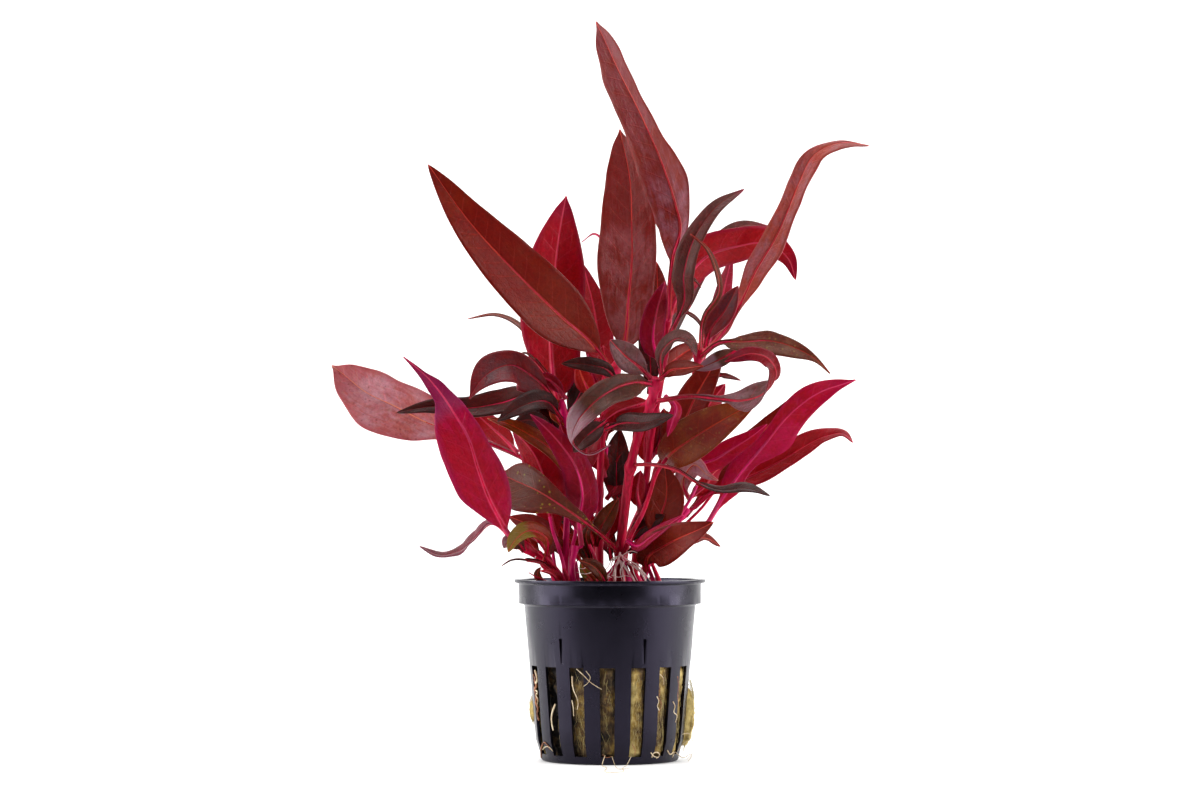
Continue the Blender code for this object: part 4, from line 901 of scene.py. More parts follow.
def grow_leaf(name, leaf, root, habit, tint, skins):
    """A blade whose foot is rolled into a stalk, and the route and radii of its raised midrib. The first
    of its skins is that of its upper side."""
    rough = smooth_route((root, *leaf.route), LENGTH_STEPS)
    length = sum((b - a).length for a, b in zip(rough, rough[1:]))
    rows = max(12, round(length / ROW_STEP))
    columns = max(6, 2 * round(leaf.width / COLUMN_STEP / 2))
    route = smooth_route((root, *leaf.route), rows + 1)
    frames = leaf_frames(leaf, route)
    bpy.ops.mesh.primitive_grid_add(x_subdivisions=rows, y_subdivisions=columns, size=2)
    blade = bpy.context.object
    for skin in skins:
        blade.data.materials.append(skin)
    # The skins follow the blade by these: how far along and out a point is in millimetres and as a share,
    # and the leaf's own tint.
    lie = blade.data.attributes.new("lie", "FLOAT_VECTOR", "POINT")
    share = blade.data.attributes.new("share", "FLOAT_VECTOR", "POINT")
    for vert in blade.data.vertices:
        along = (vert.co.x + 1) / 2
        reach = math.copysign(abs(vert.co.y) ** COLUMN_CROWDING, -vert.co.y)
        index = round(along * rows)
        across, upper = frames[index]
        half = half_width(name, leaf, habit, along, reach)
        out = reach * half
        travelled = along * length
        lie.data[vert.index].vector = (travelled, out, abs(reach))
        share.data[vert.index].vector = (along, tint, 0)
        open_blade = min(1.0, max(0.0, (half - OPEN_FROM) / (OPEN_TO - OPEN_FROM)))
        vein = (travelled - VEIN_SLOPE * abs(out) - VEIN_BOW * out * out) / VEIN_SPACING
        if out > 0:
            vein += 0.5
        ripple = noise.noise(Vector((travelled / WAVE_LENGTH, 3.0 if out > 0 else 0.0, tint * 50)))
        rise = LEAF_FOLD * (math.sqrt(out * out + 1) - 1)
        bulge = math.sin(vein * math.pi) ** 2 * min(1.0, abs(out) / 2) * (1 - reach ** 4)
        rise += habit.quilt * open_blade * bulge
        rise += habit.wave * open_blade * abs(reach) ** 3 * ripple * 2
        rise -= CHANNEL_DEPTH * open_blade * math.exp(-(out / CHANNEL_HALF) ** 2)
        flat = across * out + upper * rise
        if along < ROLL_END and half < UNROLLED_AT:
            rolled = min(1.0, (UNROLLED_AT - half) / (UNROLLED_AT - ROLLED_AT))
            angle = reach * math.pi * STALK_WRAP
            round_stalk = across * math.sin(angle) * STALK_RADIUS
            round_stalk += upper * (STALK_RAISE - math.cos(angle) * STALK_RADIUS)
            flat = flat.lerp(round_stalk, rolled)
        vert.co = (route[index] + flat) * MM
    thick = blade.modifiers.new("thickness", "SOLIDIFY")
    thick.thickness = BLADE_THICKNESS * MM
    thick.offset = 0.0
    thick.material_offset = 1
    bpy.ops.object.modifier_apply(modifier=thick.name)
    bpy.ops.object.shade_smooth()
    rib_route = []
    swell = RIB_SWELL if leaf.width > SLIM_LEAF else SLIM_RIB_SWELL
    for index in range(0, int(rows * RIB_END) + 1, 2):
        along = index / rows
        half = half_width(name, leaf, habit, along, 1)
        radius = RIB_TIP + swell * (1 - along / RIB_END)
        sink = radius * RIB_SINK * min(1.0, max(0.0, (half - RIB_SUNK_FROM) / RIB_SUNK_OVER))
        rib_route.append((route[index] - frames[index][1] * sink, radius))
    return blade, rib_route


# The colours of one side of a leaf: its ground, the bloom over it, which is partly a painted sheen, its
# midrib and its margin, how strong its flecks are, the colour of its tip and how far along that starts, and
# the flecks' own colour.
Side = namedtuple("Side", "ground bloom rib edge flecks tip tip_start fleck",
                  defaults=(None, 0.84, "#3c1a0c"))


def leaf_skin(name, side, upper):
    """One side of a leaf: two tones that run into each other, the second partly a painted sheen, a midrib
    that thins to nothing, faint side veins with a net of 1.4 mm cells between them, a tinted margin and tip,
    and flecks under a millimetre wide. The veins are sunk on the upper side and stand out on the lower. Light
    passes a little way through the blade."""
    material, tree, shader = new_material(name, IOR=1.42, Metallic=0.0, Subsurface_Weight=0.5,
                                          Subsurface_Radius=(1.0, 0.12, 0.3), Subsurface_Scale=1.2 * MM)
    shader.inputs["Specular IOR Level"].default_value = 0.16 if upper else 0.08
    lie = add(tree, "Attribute", {}, attribute_name="lie").outputs["Vector"]
    along, out, reach = add(tree, "SeparateXYZ", {0: lie}).outputs
    share = add(tree, "Attribute", {}, attribute_name="share").outputs["Vector"]
    way, tint, _ = add(tree, "SeparateXYZ", {0: share}).outputs
    place = add(tree, "TexCoord", {}).outputs["Object"]
    aside = add(tree, "Math", {0: out}, operation="ABSOLUTE")
    slope = add(tree, "Math", {0: aside, 1: -VEIN_SLOPE, 2: along}, operation="MULTIPLY_ADD")
    square = add(tree, "Math", {0: aside, 1: aside}, operation="MULTIPLY")
    bowed = add(tree, "Math", {0: square, 1: -VEIN_BOW, 2: slope}, operation="MULTIPLY_ADD")
    other_side = add(tree, "Math", {0: out, 1: 0.0}, operation="GREATER_THAN")
    stagger = add(tree, "Math", {0: other_side, 1: VEIN_SPACING / 2, 2: bowed}, operation="MULTIPLY_ADD")
    drift = add(tree, "TexNoise", {"Vector": place, "Scale": 85.0, "Detail": 2.0})
    wander = add(tree, "Math", {0: drift, 1: 3.0, 2: stagger}, operation="MULTIPLY_ADD")
    count = add(tree, "Math", {0: wander, 1: VEIN_SPACING}, operation="DIVIDE")
    apart = add(tree, "Math", {0: count, 1: 0.5}, operation="PINGPONG")
    side_vein = add(tree, "MapRange", {0: apart, 1: 0.0, 2: 0.07, 3: 1.0, 4: 0.0},
                    interpolation_type="SMOOTHSTEP")
    inner = add(tree, "MapRange", {0: reach, 1: 0.5, 2: 0.95, 3: 1.0, 4: 0.0},
                interpolation_type="SMOOTHSTEP")
    side_vein = add(tree, "Math", {0: side_vein, 1: inner}, operation="MULTIPLY")
    net = add(tree, "TexVoronoi", {"Vector": place, "Scale": 700.0}, feature="DISTANCE_TO_EDGE")
    net = add(tree, "MapRange", {0: net, 1: 0.0, 2: 0.14, 3: 1.0, 4: 0.0})

    thin = add(tree, "Math", {0: 1.0, 1: way}, operation="SUBTRACT")
    thinner = add(tree, "Math", {0: thin, 1: 1.8}, operation="POWER")
    rib_half = add(tree, "Math", {0: thinner, 1: 0.75, 2: 0.14}, operation="MULTIPLY_ADD")
    rib_share = add(tree, "Math", {0: aside, 1: rib_half}, operation="DIVIDE")
    midrib = add(tree, "MapRange", {0: rib_share, 1: 0.5, 2: 1.3, 3: 1.0, 4: 0.0},
                 interpolation_type="SMOOTHSTEP")

    outwards = add(tree, "Math", {0: aside, 1: 0.16}, operation="MULTIPLY")
    own = add(tree, "Math", {0: tint, 1: 40.0}, operation="MULTIPLY")
    veinwise = add(tree, "CombineXYZ", {0: count, 1: outwards, 2: own})
    streaks = add(tree, "TexNoise", {"Vector": veinwise, "Scale": 1.3, "Detail": 4.0, "Roughness": 0.6})
    drawn_out = add(tree, "Math", {0: along, 1: 0.1}, operation="MULTIPLY")
    crosswise = add(tree, "Math", {0: out, 1: 0.55}, operation="MULTIPLY")
    own = add(tree, "Math", {0: tint, 1: 70.0}, operation="MULTIPLY")
    lengthwise = add(tree, "CombineXYZ", {0: drawn_out, 1: crosswise, 2: own})
    wrinkles = add(tree, "TexNoise", {"Vector": lengthwise, "Scale": 1.4, "Detail": 4.0, "Roughness": 0.6,
                                      "Distortion": 0.8})
    clouds = add(tree, "TexNoise", {"Vector": place, "Scale": 75.0, "Detail": 4.0, "Roughness": 0.6})
    patches = add(tree, "Math", {0: wrinkles, 1: 0.45, 2: clouds}, operation="MULTIPLY_ADD")
    tones = add(tree, "MapRange", {0: patches, 1: 0.58, 2: 0.88}, interpolation_type="SMOOTHSTEP")
    grit = add(tree, "TexNoise", {"Vector": place, "Scale": 1100.0, "Detail": 3.0, "Roughness": 0.7})
    gritty = add(tree, "MapRange", {0: grit, 1: 0.3, 2: 0.7, 3: 0.8, 4: 1.2})
    deep = add(tree, "MapRange", {0: tint, 1: 0.0, 2: 1.0, 3: 0.84, 4: 1.14})
    value = add(tree, "Math", {0: gritty, 1: deep}, operation="MULTIPLY")
    # The bloom mixed over the ground in patches is partly the leaf's own tone and partly a painted sheen.
    colour = add(tree, "MixRGB", {0: tones, 1: linear(side.ground), 2: linear(side.bloom)})
    colour = add(tree, "HueSaturation", {"Color": colour, "Value": value})
    margin = add(tree, "MapRange", {0: reach, 1: 0.7, 2: 1.0, 4: 0.7}, interpolation_type="SMOOTHSTEP")
    colour = add(tree, "MixRGB", {0: margin, 1: colour, 2: linear(side.edge)})
    tip_full = min(1.0, side.tip_start + 0.1)
    pointed = add(tree, "MapRange", {0: way, 1: side.tip_start, 2: tip_full, 4: 0.7},
                  interpolation_type="SMOOTHSTEP")
    colour = add(tree, "MixRGB", {0: pointed, 1: colour, 2: linear(side.tip or side.edge)})
    fainter = add(tree, "Math", {0: side_vein, 1: 0.13}, operation="MULTIPLY")
    colour = add(tree, "MixRGB", {0: fainter, 1: colour, 2: linear(side.rib)})
    dots = add(tree, "TexVoronoi", {"Vector": place, "Scale": 560.0})
    spared = add(tree, "MapRange", {0: drift, 1: 0.34, 2: 0.5, 3: 0.25, 4: 0.0})
    speck = add(tree, "Math", {0: dots, 1: spared}, operation="ADD")
    dot = add(tree, "MapRange", {0: speck, 1: 0.1, 2: 0.24, 3: side.flecks, 4: 0.0})
    colour = add(tree, "MixRGB", {0: dot, 1: colour, 2: linear(side.fleck)})
    strong = add(tree, "Math", {0: midrib, 1: 0.9}, operation="MULTIPLY")
    colour = add(tree, "MixRGB", {0: strong, 1: colour, 2: linear(side.rib)})
    rough = add(tree, "MapRange", {0: patches, 1: 0.58, 2: 0.88, 3: 0.46, 4: 0.3})
    lines = add(tree, "Math", {0: side_vein, 1: 0.24, 2: midrib}, operation="MULTIPLY_ADD")
    cells = add(tree, "Math", {0: net, 1: 0.16, 2: lines}, operation="MULTIPLY_ADD")
    cells = add(tree, "Math", {0: streaks, 1: 0.4, 2: cells}, operation="MULTIPLY_ADD")
    cells = add(tree, "Math", {0: wrinkles, 1: 1.1, 2: cells}, operation="MULTIPLY_ADD")
    bump = add(tree, "Bump", {"Height": cells, "Strength": 0.75, "Distance": 0.34 * MM}, invert=upper)
    feed(tree, shader, Base_Color=colour, Roughness=rough, Normal=bump)
    return material


def skin_pair(name, upper, under):
    """The materials of a leaf's upper and lower side."""
    return leaf_skin(name + "_leaf_upper", upper, True), leaf_skin(name + "_leaf_under", under, False)


RED_UNDER = Side("#84060c", "#8c0818", "#bc3844", "#780820", 0.1)
BRIGHT_UNDER = Side("#8c0c10", "#961420", "#c83a44", "#800a22", 0.1)
WARM_UNDER = Side("#840e0a", "#8c1220", "#b43a32", "#700c20", 0.15)
LEAF_SKINS = {
    # Dark wine red, as on the youngest leaves, darkened further as painted shade for leaves in the shade of
    # others.
    "wine": skin_pair(
        "dark_wine", Side("#4a0810", "#540c20", "#8c2438", "#4c0824", 0.1),
        Side("#700616", "#760a26", "#a42c48", "#66082e", 0.05)),
    # Plain brick red.
    "brick": skin_pair("brick", Side("#620e06", "#661c0e", "#b43c30", "#560e08", 0.25), RED_UNDER),
    # Brick red, with a dull rose bloom in patches on the half next to the stalk, partly a painted sheen.
    "red_sheen": skin_pair(
        "red_sheened", Side("#66140a", "#7e4244", "#b84038", "#5a140c", 0.3, "#5e120a", 0.52), RED_UNDER),
    # The same with a paler, mauve bloom, partly a painted sheen.
    "brick_sheen": skin_pair(
        "brick_sheened", Side("#6c2016", "#80505c", "#c04c44", "#5e1c16", 0.35, "#681a10", 0.4),
        BRIGHT_UNDER),
    # A mauve bloom, partly a painted sheen, all over faded brick.
    "sheen": skin_pair(
        "mauve_sheened", Side("#863a2e", "#86545a", "#c04c48", "#74302a", 0.3), BRIGHT_UNDER),
    # Clear crimson.
    "crimson": skin_pair(
        "crimson", Side("#7c0610", "#860c1c", "#c03448", "#7c0620", 0.15),
        Side("#76060c", "#7e0818", "#ac3048", "#700628", 0.08)),
    # Crimson that turns purple towards the tip.
    "purple_tip": skin_pair(
        "purple_tipped", Side("#7c0610", "#860c1c", "#c03448", "#7c0620", 0.15, "#6c0a40", 0.6),
        Side("#8c0820", "#900c34", "#b43054", "#76083c", 0.05, "#5c0a3c", 0.62)),
    # The strong magenta red of a thin blade with light in it.
    "magenta": skin_pair(
        "magenta", Side("#86061a", "#780c2c", "#c02c58", "#860a3a", 0.1),
        Side("#9c1024", "#a20c3e", "#c43864", "#8a0a3a", 0.04)),
    # Pale mauve, where the bloom is thickest; the bloom is partly a painted sheen.
    "mauve": skin_pair(
        "pale_mauve", Side("#985654", "#a67e88", "#c07c60", "#8c464a", 0.35),
        Side("#8c0814", "#94102c", "#cc5058", "#80082c", 0.1)),
    # A mauve grey bloom over brown, partly a painted sheen.
    "mauve_grey": skin_pair(
        "mauve_grey", Side("#54322e", "#6c4c52", "#b82a38", "#563638", 0.5),
        Side("#62060c", "#6e0a1a", "#9c2834", "#5c0a20", 0.1)),
    # Nearly black, for the leaves in the middle of the bunch.
    "dusky": skin_pair(
        "dusky", Side("#280a08", "#381816", "#4c1614", "#240b09", 0.2),
        Side("#740810", "#800a1c", "#b03440", "#640a22", 0.1)),
    # Dark grey-brown with a purple tip.
    "grey": skin_pair(
        "grey_brown", Side("#3e1e18", "#542e2c", "#682c2a", "#44241f", 0.3, "#80103a", 0.9),
        Side("#740c10", "#800e20", "#b03440", "#680c2c", 0.1)),
    # Wine red with patches of grey bloom, partly a painted sheen.
    "grey_red": skin_pair(
        "grey_and_red", Side("#6a1418", "#4c2a30", "#882830", "#681820", 0.2),
        Side("#840a12", "#8c0e1e", "#b83844", "#740c2a", 0.1)),
    # Dark olive brown.
    "olive": skin_pair("olive", Side("#441606", "#4e220e", "#883020", "#48120a", 0.35), WARM_UNDER),
    # Red-brown that turns olive green towards the tip.
    "olive_tip": skin_pair(
        "olive_tipped", Side("#6c1c0e", "#742c0e", "#9c3424", "#5c2a10", 0.3, "#5e5a1c", 0.5),
        WARM_UNDER),
    # Warm red-brown with straw-coloured flecks.
    "olive_red": skin_pair(
        "red_brown", Side("#601405", "#6a300c", "#a83a1c", "#5c2808", 0.35, None, 0.9, "#80622c"),
        Side("#8a0e0a", "#921418", "#bc4432", "#780e1c", 0.15)),
    # Faded olive brown with more of these flecks.
    "olive_brown": skin_pair(
        "olive_brown", Side("#4a2216", "#5c3a2a", "#8c3024", "#503022", 0.5, None, 0.9, "#7c6630"),
        Side("#6c1410", "#781420", "#983038", "#600e24", 0.1)),
    # Dark olive whose tip is painted pale mauve grey: a painted glossy highlight where the blade bends over.
    "olive_dark": skin_pair(
        "dark_olive", Side("#341a12", "#48281e", "#702420", "#4c2c26", 0.2, "#80606a", 0.5),
        Side("#600c14", "#6c1420", "#983038", "#580c24", 0.1)),
    # Olive brown with yellow-green spots.
    "spotted": skin_pair(
        "spotted_olive", Side("#521a12", "#56281a", "#a83c38", "#54140e", 0.9, None, 0.9, "#7c7020"),
        WARM_UNDER),
}

for index, (name, leaf) in enumerate(LEAVES.items()):
    stem = STEMS[leaf.stem]
    habit = HABITS.get(name, Habit())
    middle, radius = stem_at(stem, leaf.height)
    aside = Vector(leaf.route[0]) - middle
    aside.z = 0
    root = middle + aside.normalized() * (radius + GAP + PETIOLE_WIDTH / 2)
    skins = LEAF_SKINS[habit.skin or leaf.colour.replace("leaf_", "")]
    blade, rib = grow_leaf(name, leaf, root, habit, index * TINT_STEP % 1, skins)
    into_stem = middle + aside.normalized() * radius * STALK_DEPTH
    into_stem.z -= radius
    stalk = strands("stalk", [[(into_stem, rib[0][1] * STALK_FOOT_SWELL), *rib]], sides=8)
    stalk_colour = "stem_pink" if leaf.colour == "leaf_magenta" else "stem_crimson"
    stalk.data.materials.append(STEM_SKINS[stalk_colour])
    only(blade, stalk)
    bpy.ops.object.join()
    finish_piece(blade, name.replace("leaf", "blade"), None)
    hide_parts(name)


# The cuttings' stems, made once their leaves are known: a stem swells just below each joint where a leaf
# grows.
STEM_STEPS = 110
JOINT_SWELL, JOINT_LIMIT = 0.34, 1.45
JOINT_DROP, JOINT_REACH = 0.6, 1.5
for name, stem in STEMS.items():
    joints = [leaf.height for leaf in LEAVES.values() if leaf.stem == name]
    rings = []
    for place, radius in tapered(stem_route(stem, STEM_STEPS + 1), stem.foot_radius, stem.tip_radius):
        for joint in joints:
            nearness = math.exp(-((place.z - joint + JOINT_DROP) / JOINT_REACH) ** 2)
            radius += JOINT_SWELL * stem.foot_radius * nearness
        rings.append((place, min(radius, stem.foot_radius * JOINT_LIMIT)))
    made = strands(name, [rings], sides=16)
    finish_piece(made, name.replace("stem", "cutting"), STEM_SKINS[stem.colour])
    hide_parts(name)


# The little leaves: side shoots and buds at the feet of the cuttings and between the big leaves, grown as
# those are. Each has its skin, its width and how far along it is broadest, its turn, and its route from
# its foot.
LITTLE_LEAVES = [
    ("magenta", 4.2, 0.5, (20, 60), (
        (5, -6, 64), (8, -12, 62.5), (11.5, -16, 65), (16.5, -19, 68.5), (21, -21, 71.5))),
    ("grey", 2.2, 0.5, (60, 50), (
        (15, 10, 126), (18, 12, 131.5), (21, 13, 132), (24.5, 13, 130.5), (26.5, 12, 128.5),
        (28, 10, 125))),
    ("grey", 1.2, 0.5, (60, 60), ((22, 14, 139.5), (23, 12, 141.5), (25, 10, 141), (27, 8, 138.5))),
    ("mauve", 6, 0.5, (40, -60), (
        (23.5, 6, 76), (21.5, 3, 80.5), (22.5, 0, 84), (25, -3, 86), (28, -4, 83.5), (31.5, -5, 81.5))),
    ("mauve", 5, 0.5, (150, 200), (
        (23, 8, 76), (25.5, 6, 78), (28.5, 6, 80.5), (30.5, 8, 83.5), (33, 10, 85.5))),
    ("dusky", 4.6, 0.55, (10, 10), (
        (2.5, -8, 109.5), (-1, -13, 113.5), (-4.5, -16, 114.5), (-9, -18, 115), (-14, -18, 115))),
    ("wine", 4, 0.5, (160, 180), ((-13, 4, 105.5), (-16, 2, 109.5), (-19, 0, 111.5), (-22.5, -2, 111))),
    ("crimson", 2.8, 0.5, (120, 90), (
        (-14.5, -9, 50.5), (-18, -14, 52), (-21, -16, 53.5), (-23.5, -16, 55))),
    ("crimson", 3.4, 0.5, (40, 60), (
        (-14, -6, 49.5), (-15.5, -12, 53.5), (-17.5, -16, 55), (-20, -18, 55.5))),
    ("olive", 2.6, 0.5, (20, 20), ((-19, -13, 49.5), (-20, -16, 52.5), (-21, -16, 54.5), (-20, -15, 56.5))),
    ("olive", 4.2, 0.6, (20, 20), ((-1, -12, 50.5), (-3, -17, 55), (-5, -19, 57), (-9, -20, 58.5))),
    ("grey", 1.2, 0.5, (60, 60), (
        (-16, 8, 110), (-19, 6, 113.5), (-22, 4, 117), (-25, 2, 119), (-27.5, 0, 117.5))),
    ("dusky", 0.9, 0.5, (60, 60), (
        (-16, -8, 54), (-19.5, -12, 57.5), (-23.5, -15, 58.5), (-28.5, -18, 58.5), (-31, -20, 57))),
    ("grey", 2.2, 0.45, (30, 30), (
        (26.5, 8, 107.5), (29.5, 7, 111), (32, 6, 112.5), (35.5, 5, 112), (38.5, 4, 111))),
    ("olive", 5.4, 0.5, (10, 10), ((-4, -2, 62.5), (-3, -5, 67), (-0.5, -6, 71.5), (2.5, -6, 76.5))),
    ("olive", 3.2, 0.5, (10, 20), ((-5, 0, 57), (-6, -3, 61.5), (-7, -5, 65.5), (-5, -6, 70))),
    ("olive", 4, 0.5, (30, 30), ((-5, 2, 56.5), (-7, -1, 60), (-8, -3, 62.5), (-6.5, -4, 66))),
    ("brick", 5, 0.5, (30, 30), ((-11, 4, 57.5), (-14.5, 2, 62), (-18, -1, 64), (-20.5, -3, 67))),
    ("brick", 5.5, 0.5, (10, 10), ((-9, 8, 58), (-11, 8, 62.5), (-14, 8, 67), (-16, 8, 72))),
    ("crimson", 7, 0.5, (10, 10), ((-1, 6, 76), (2, 8, 80), (3.5, 9, 84.5), (4, 9, 90))),
    ("crimson", 7, 0.5, (180, 170), ((7.5, 4, 70), (10.5, 3, 74), (13, 2, 78), (14.5, 1, 83.5))),
    ("dusky", 4.5, 0.5, (20, 20), ((9, 0, 59.5), (11.5, -4, 62), (15, -6, 63.5), (19, -8, 64.5))),
    ("brick", 6, 0.5, (20, 20), ((-14.5, 6, 84.5), (-18, 8, 87), (-20.5, 9, 90.5), (-22.5, 10, 95))),
    ("crimson", 5, 0.5, (180, 180), ((15.5, 10, 82.5), (18.5, 12, 85.5), (22, 14, 90), (25, 16, 93.5))),
    ("magenta", 3.5, 0.5, (180, 180), ((16, -10, 106), (19, -13, 102.5), (18, -15, 98.5), (16.5, -16, 94))),
    ("crimson", 6, 0.5, (170, 170), ((-1.5, 2, 82.5), (-3, 0, 87), (-6, 0, 90), (-9.5, 0, 91.5))),
    ("brick", 8, 0.5, (10, 10), ((-12, 10, 93.5), (-15, 14, 98.5), (-17, 16, 103), (-18.5, 18, 108.5))),
    ("brick", 6.5, 0.5, (10, 0), (
        (15.5, 10, 113.5), (19.5, 16, 117.5), (23.5, 20, 120.5), (27.5, 22, 122.5))),
    ("crimson", 6.5, 0.5, (180, 180), ((26.5, 6, 121.5), (30.5, 12, 126), (33.5, 16, 132), (36, 18, 138))),
    ("dusky", 8.5, 0.5, (0, 0), ((2.5, 8, 72.5), (2, 8, 80), (2, 9, 87), (3, 10, 97))),
    ("crimson", 5, 0.5, (180, 180), ((-1.5, -1, 61.5), (-0.5, -2, 66.5), (2, -3, 72), (3.5, -3, 77))),
    ("brick", 4.5, 0.5, (170, 170), ((-4, 4, 72), (-4, 5, 76.5), (-3, 5, 82.5))),
    ("crimson", 7, 0.45, (184, 190), ((13, -6, 104.5), (7.5, -8, 103), (2.5, -9, 101.5), (-2.5, -9, 98))),
    ("crimson", 2.6, 0.5, (180, 180), ((2, -2, 104.5), (-1, -3, 100.5), (-3, -3, 97.5))),
    ("olive_red", 5.5, 0.45, (180, 180), ((-5, 3, 106), (-7.5, 4, 110.5), (-9.5, 5, 116))),
    ("dusky", 6.5, 0.5, (10, 20), ((-1, -14, 98.5), (-4.5, -16, 96), (-8, -17, 93), (-10.5, -16, 89.5))),
    ("olive_red", 3.6, 0.5, (10, 10), ((-14, 3, 97.5), (-16, 4, 101.5), (-15, 4, 105.5))),
    ("crimson", 5.5, 0.5, (180, 180), ((9, 0, 72.5), (8, -1, 78), (9, -1, 84.5))),
    ("magenta", 3, 0.5, (180, 180), ((10.5, 2, 73.5), (10.5, 1, 78), (9, 0, 83))),
    ("dusky", 5.5, 0.5, (10, 10), ((5.5, 3, 63), (9, 2, 67.5), (12.5, 0, 69.5), (16, -1, 71.5))),
    ("dusky", 3.6, 0.5, (10, 10), ((5.5, -4, 60.5), (8, -5, 62), (10.5, -6, 62))),
    ("crimson", 5.5, 0.5, (10, 10), ((-1, 6, 109), (-1, 8, 115), (-2, 10, 121.5))),
    ("dusky", 6.5, 0.5, (0, 0), ((11.5, 4, 107), (12, 6, 113.5), (11.5, 8, 120.5), (9, 9, 128.5))),
    ("crimson", 8, 0.5, (180, 170), ((11, 6.5, 85), (10.5, 8, 93.5), (12, 9, 99.5), (13.5, 10, 106))),
    ("crimson", 7, 0.5, (180, 180), ((-27.5, 20, 90), (-32, 24, 94.5), (-37, 27, 99), (-42, 28, 103.5))),
    ("dusky", 8, 0.5, (0, 0), ((-12.5, 7, 88), (-15, 10, 94), (-17.5, 12, 100), (-19.5, 13, 107))),
    ("dusky", 8, 0.5, (0, 10), ((-3.5, 4, 93), (-7, 9, 99), (-9.5, 11, 106), (-10.5, 12, 113))),
    ("wine", 7.5, 0.5, (180, 180), ((-1.5, 2, 100), (-3, 8, 106), (-5, 11, 112), (-6.5, 12, 119))),
    ("dusky", 7, 0.5, (10, 0), ((-14, 7, 90), (-18, 12, 95), (-22.5, 14, 100), (-27, 15, 105))),
    ("wine", 6.5, 0.5, (180, 180), ((12, 7.5, 88), (14.5, 9, 92), (16, 10, 97), (16, 11, 103))),
    ("dusky", 6, 0.5, (10, 10), ((-12.5, 6, 101), (-10, 9, 105), (-8, 10, 109.5), (-7, 11, 114))),
    ("wine", 6, 0.5, (180, 180), ((-12, 6, 78), (-10.5, 8, 83), (-8.5, 10, 88), (-6, 11, 93))),
    ("dusky", 6, 0.5, (0, 10), ((-12, 6, 66), (-12.5, 9, 71), (-14, 11, 76), (-16, 12, 81))),
    ("olive_tip", 3.4, 0.5, (10, 10), ((-4, -9, 50), (-5.5, -11, 53), (-7.5, -12, 55.5), (-8.5, -12, 58))),
    ("dusky", 7.5, 0.5, (10, 10), ((-2.5, 8, 84.5), (-4, 9, 90.5), (-6.5, 10, 96), (-9, 11, 102))),
    ("brick", 7.5, 0.5, (10, 0), ((-1.5, 10, 93.5), (0, 11, 98.5), (1, 12, 104.5), (1, 13, 111.5))),
    ("olive_dark", 5, 0.5, (10, 20), (
        (38, -5, 120), (33.5, -7, 117.5), (29.5, -8, 115.5), (25, -8, 113.5))),
    ("brick", 8, 0.5, (0, 0), ((17, 6, 84.5), (19, 7, 90), (18.5, 8, 96), (16, 9, 102.5))),
    ("crimson", 6.5, 0.5, (180, 170), ((-14.5, 8, 82), (-16, 9, 87), (-18.5, 10, 92), (-20.5, 10, 97))),
    ("crimson", 6, 0.5, (180, 170), ((-10.5, 5, 82), (-11, 4, 87.5), (-13, 3, 93.5), (-14.5, 2, 98))),
    ("dusky", 5.5, 0.5, (10, 10), ((-16.5, 6, 96.5), (-20.5, 8, 98.5), (-24, 9, 99.5), (-28.5, 10, 98.5))),
    ("brick", 6, 0.5, (10, 10), ((-14.5, 6, 71), (-17.5, 7, 76), (-19, 8, 80.5), (-18.5, 9, 86))),
    ("brick", 5, 0.5, (10, 10), ((-20, 2, 59.5), (-23, 1, 62.5), (-24.5, 0, 66), (-25.5, -1, 70))),
    ("olive_dark", 4.6, 0.55, (20, 20), ((-25, -13, 61), (-26, -15, 63), (-29, -17, 64), (-30.5, -19, 62))),
    ("crimson", 6, 0.5, (180, 180), ((-3, 8, 56.5), (-4.5, 9, 61.5), (-6, 10, 66.5), (-5.5, 11, 72.5))),
    ("dusky", 6, 0.5, (0, 0), ((0.5, 9, 58), (-0.5, 10, 63), (-2.5, 11, 67.5), (-3, 12, 73.5))),
    ("crimson", 6, 0.5, (180, 180), ((10.5, 10, 58), (12, 11, 63.5), (14.5, 12, 69), (17.5, 13, 73.5))),
]
# The habit of every little leaf: a shallow wave at its edge and a slight bulge between its veins.
LITTLE_HABIT = Habit(wave=0.3, quilt=0.05)
FIRST_TINT = 0.3
blades = {}
for index, (skin, width, broadest, turn, route) in enumerate(LITTLE_LEAVES):
    leaf = Leaf(skin, None, 0, width, broadest, turn, route[1:])
    tint = (index * TINT_STEP + FIRST_TINT) % 1
    blade, rib = grow_leaf("little", leaf, Vector(route[0]), LITTLE_HABIT, tint, LEAF_SKINS[skin])
    stalk = strands("stalk", [rib], sides=6)
    stalk_colour = "stem_pink" if skin == "magenta" else "stem_crimson"
    stalk.data.materials.append(STEM_SKINS[stalk_colour])
    blades.setdefault(skin, []).extend((blade, stalk))
for skin, pieces in blades.items():
    only(*pieces)
    bpy.ops.object.join()
    finish_piece(bpy.context.object, "little_leaves_" + skin, None)


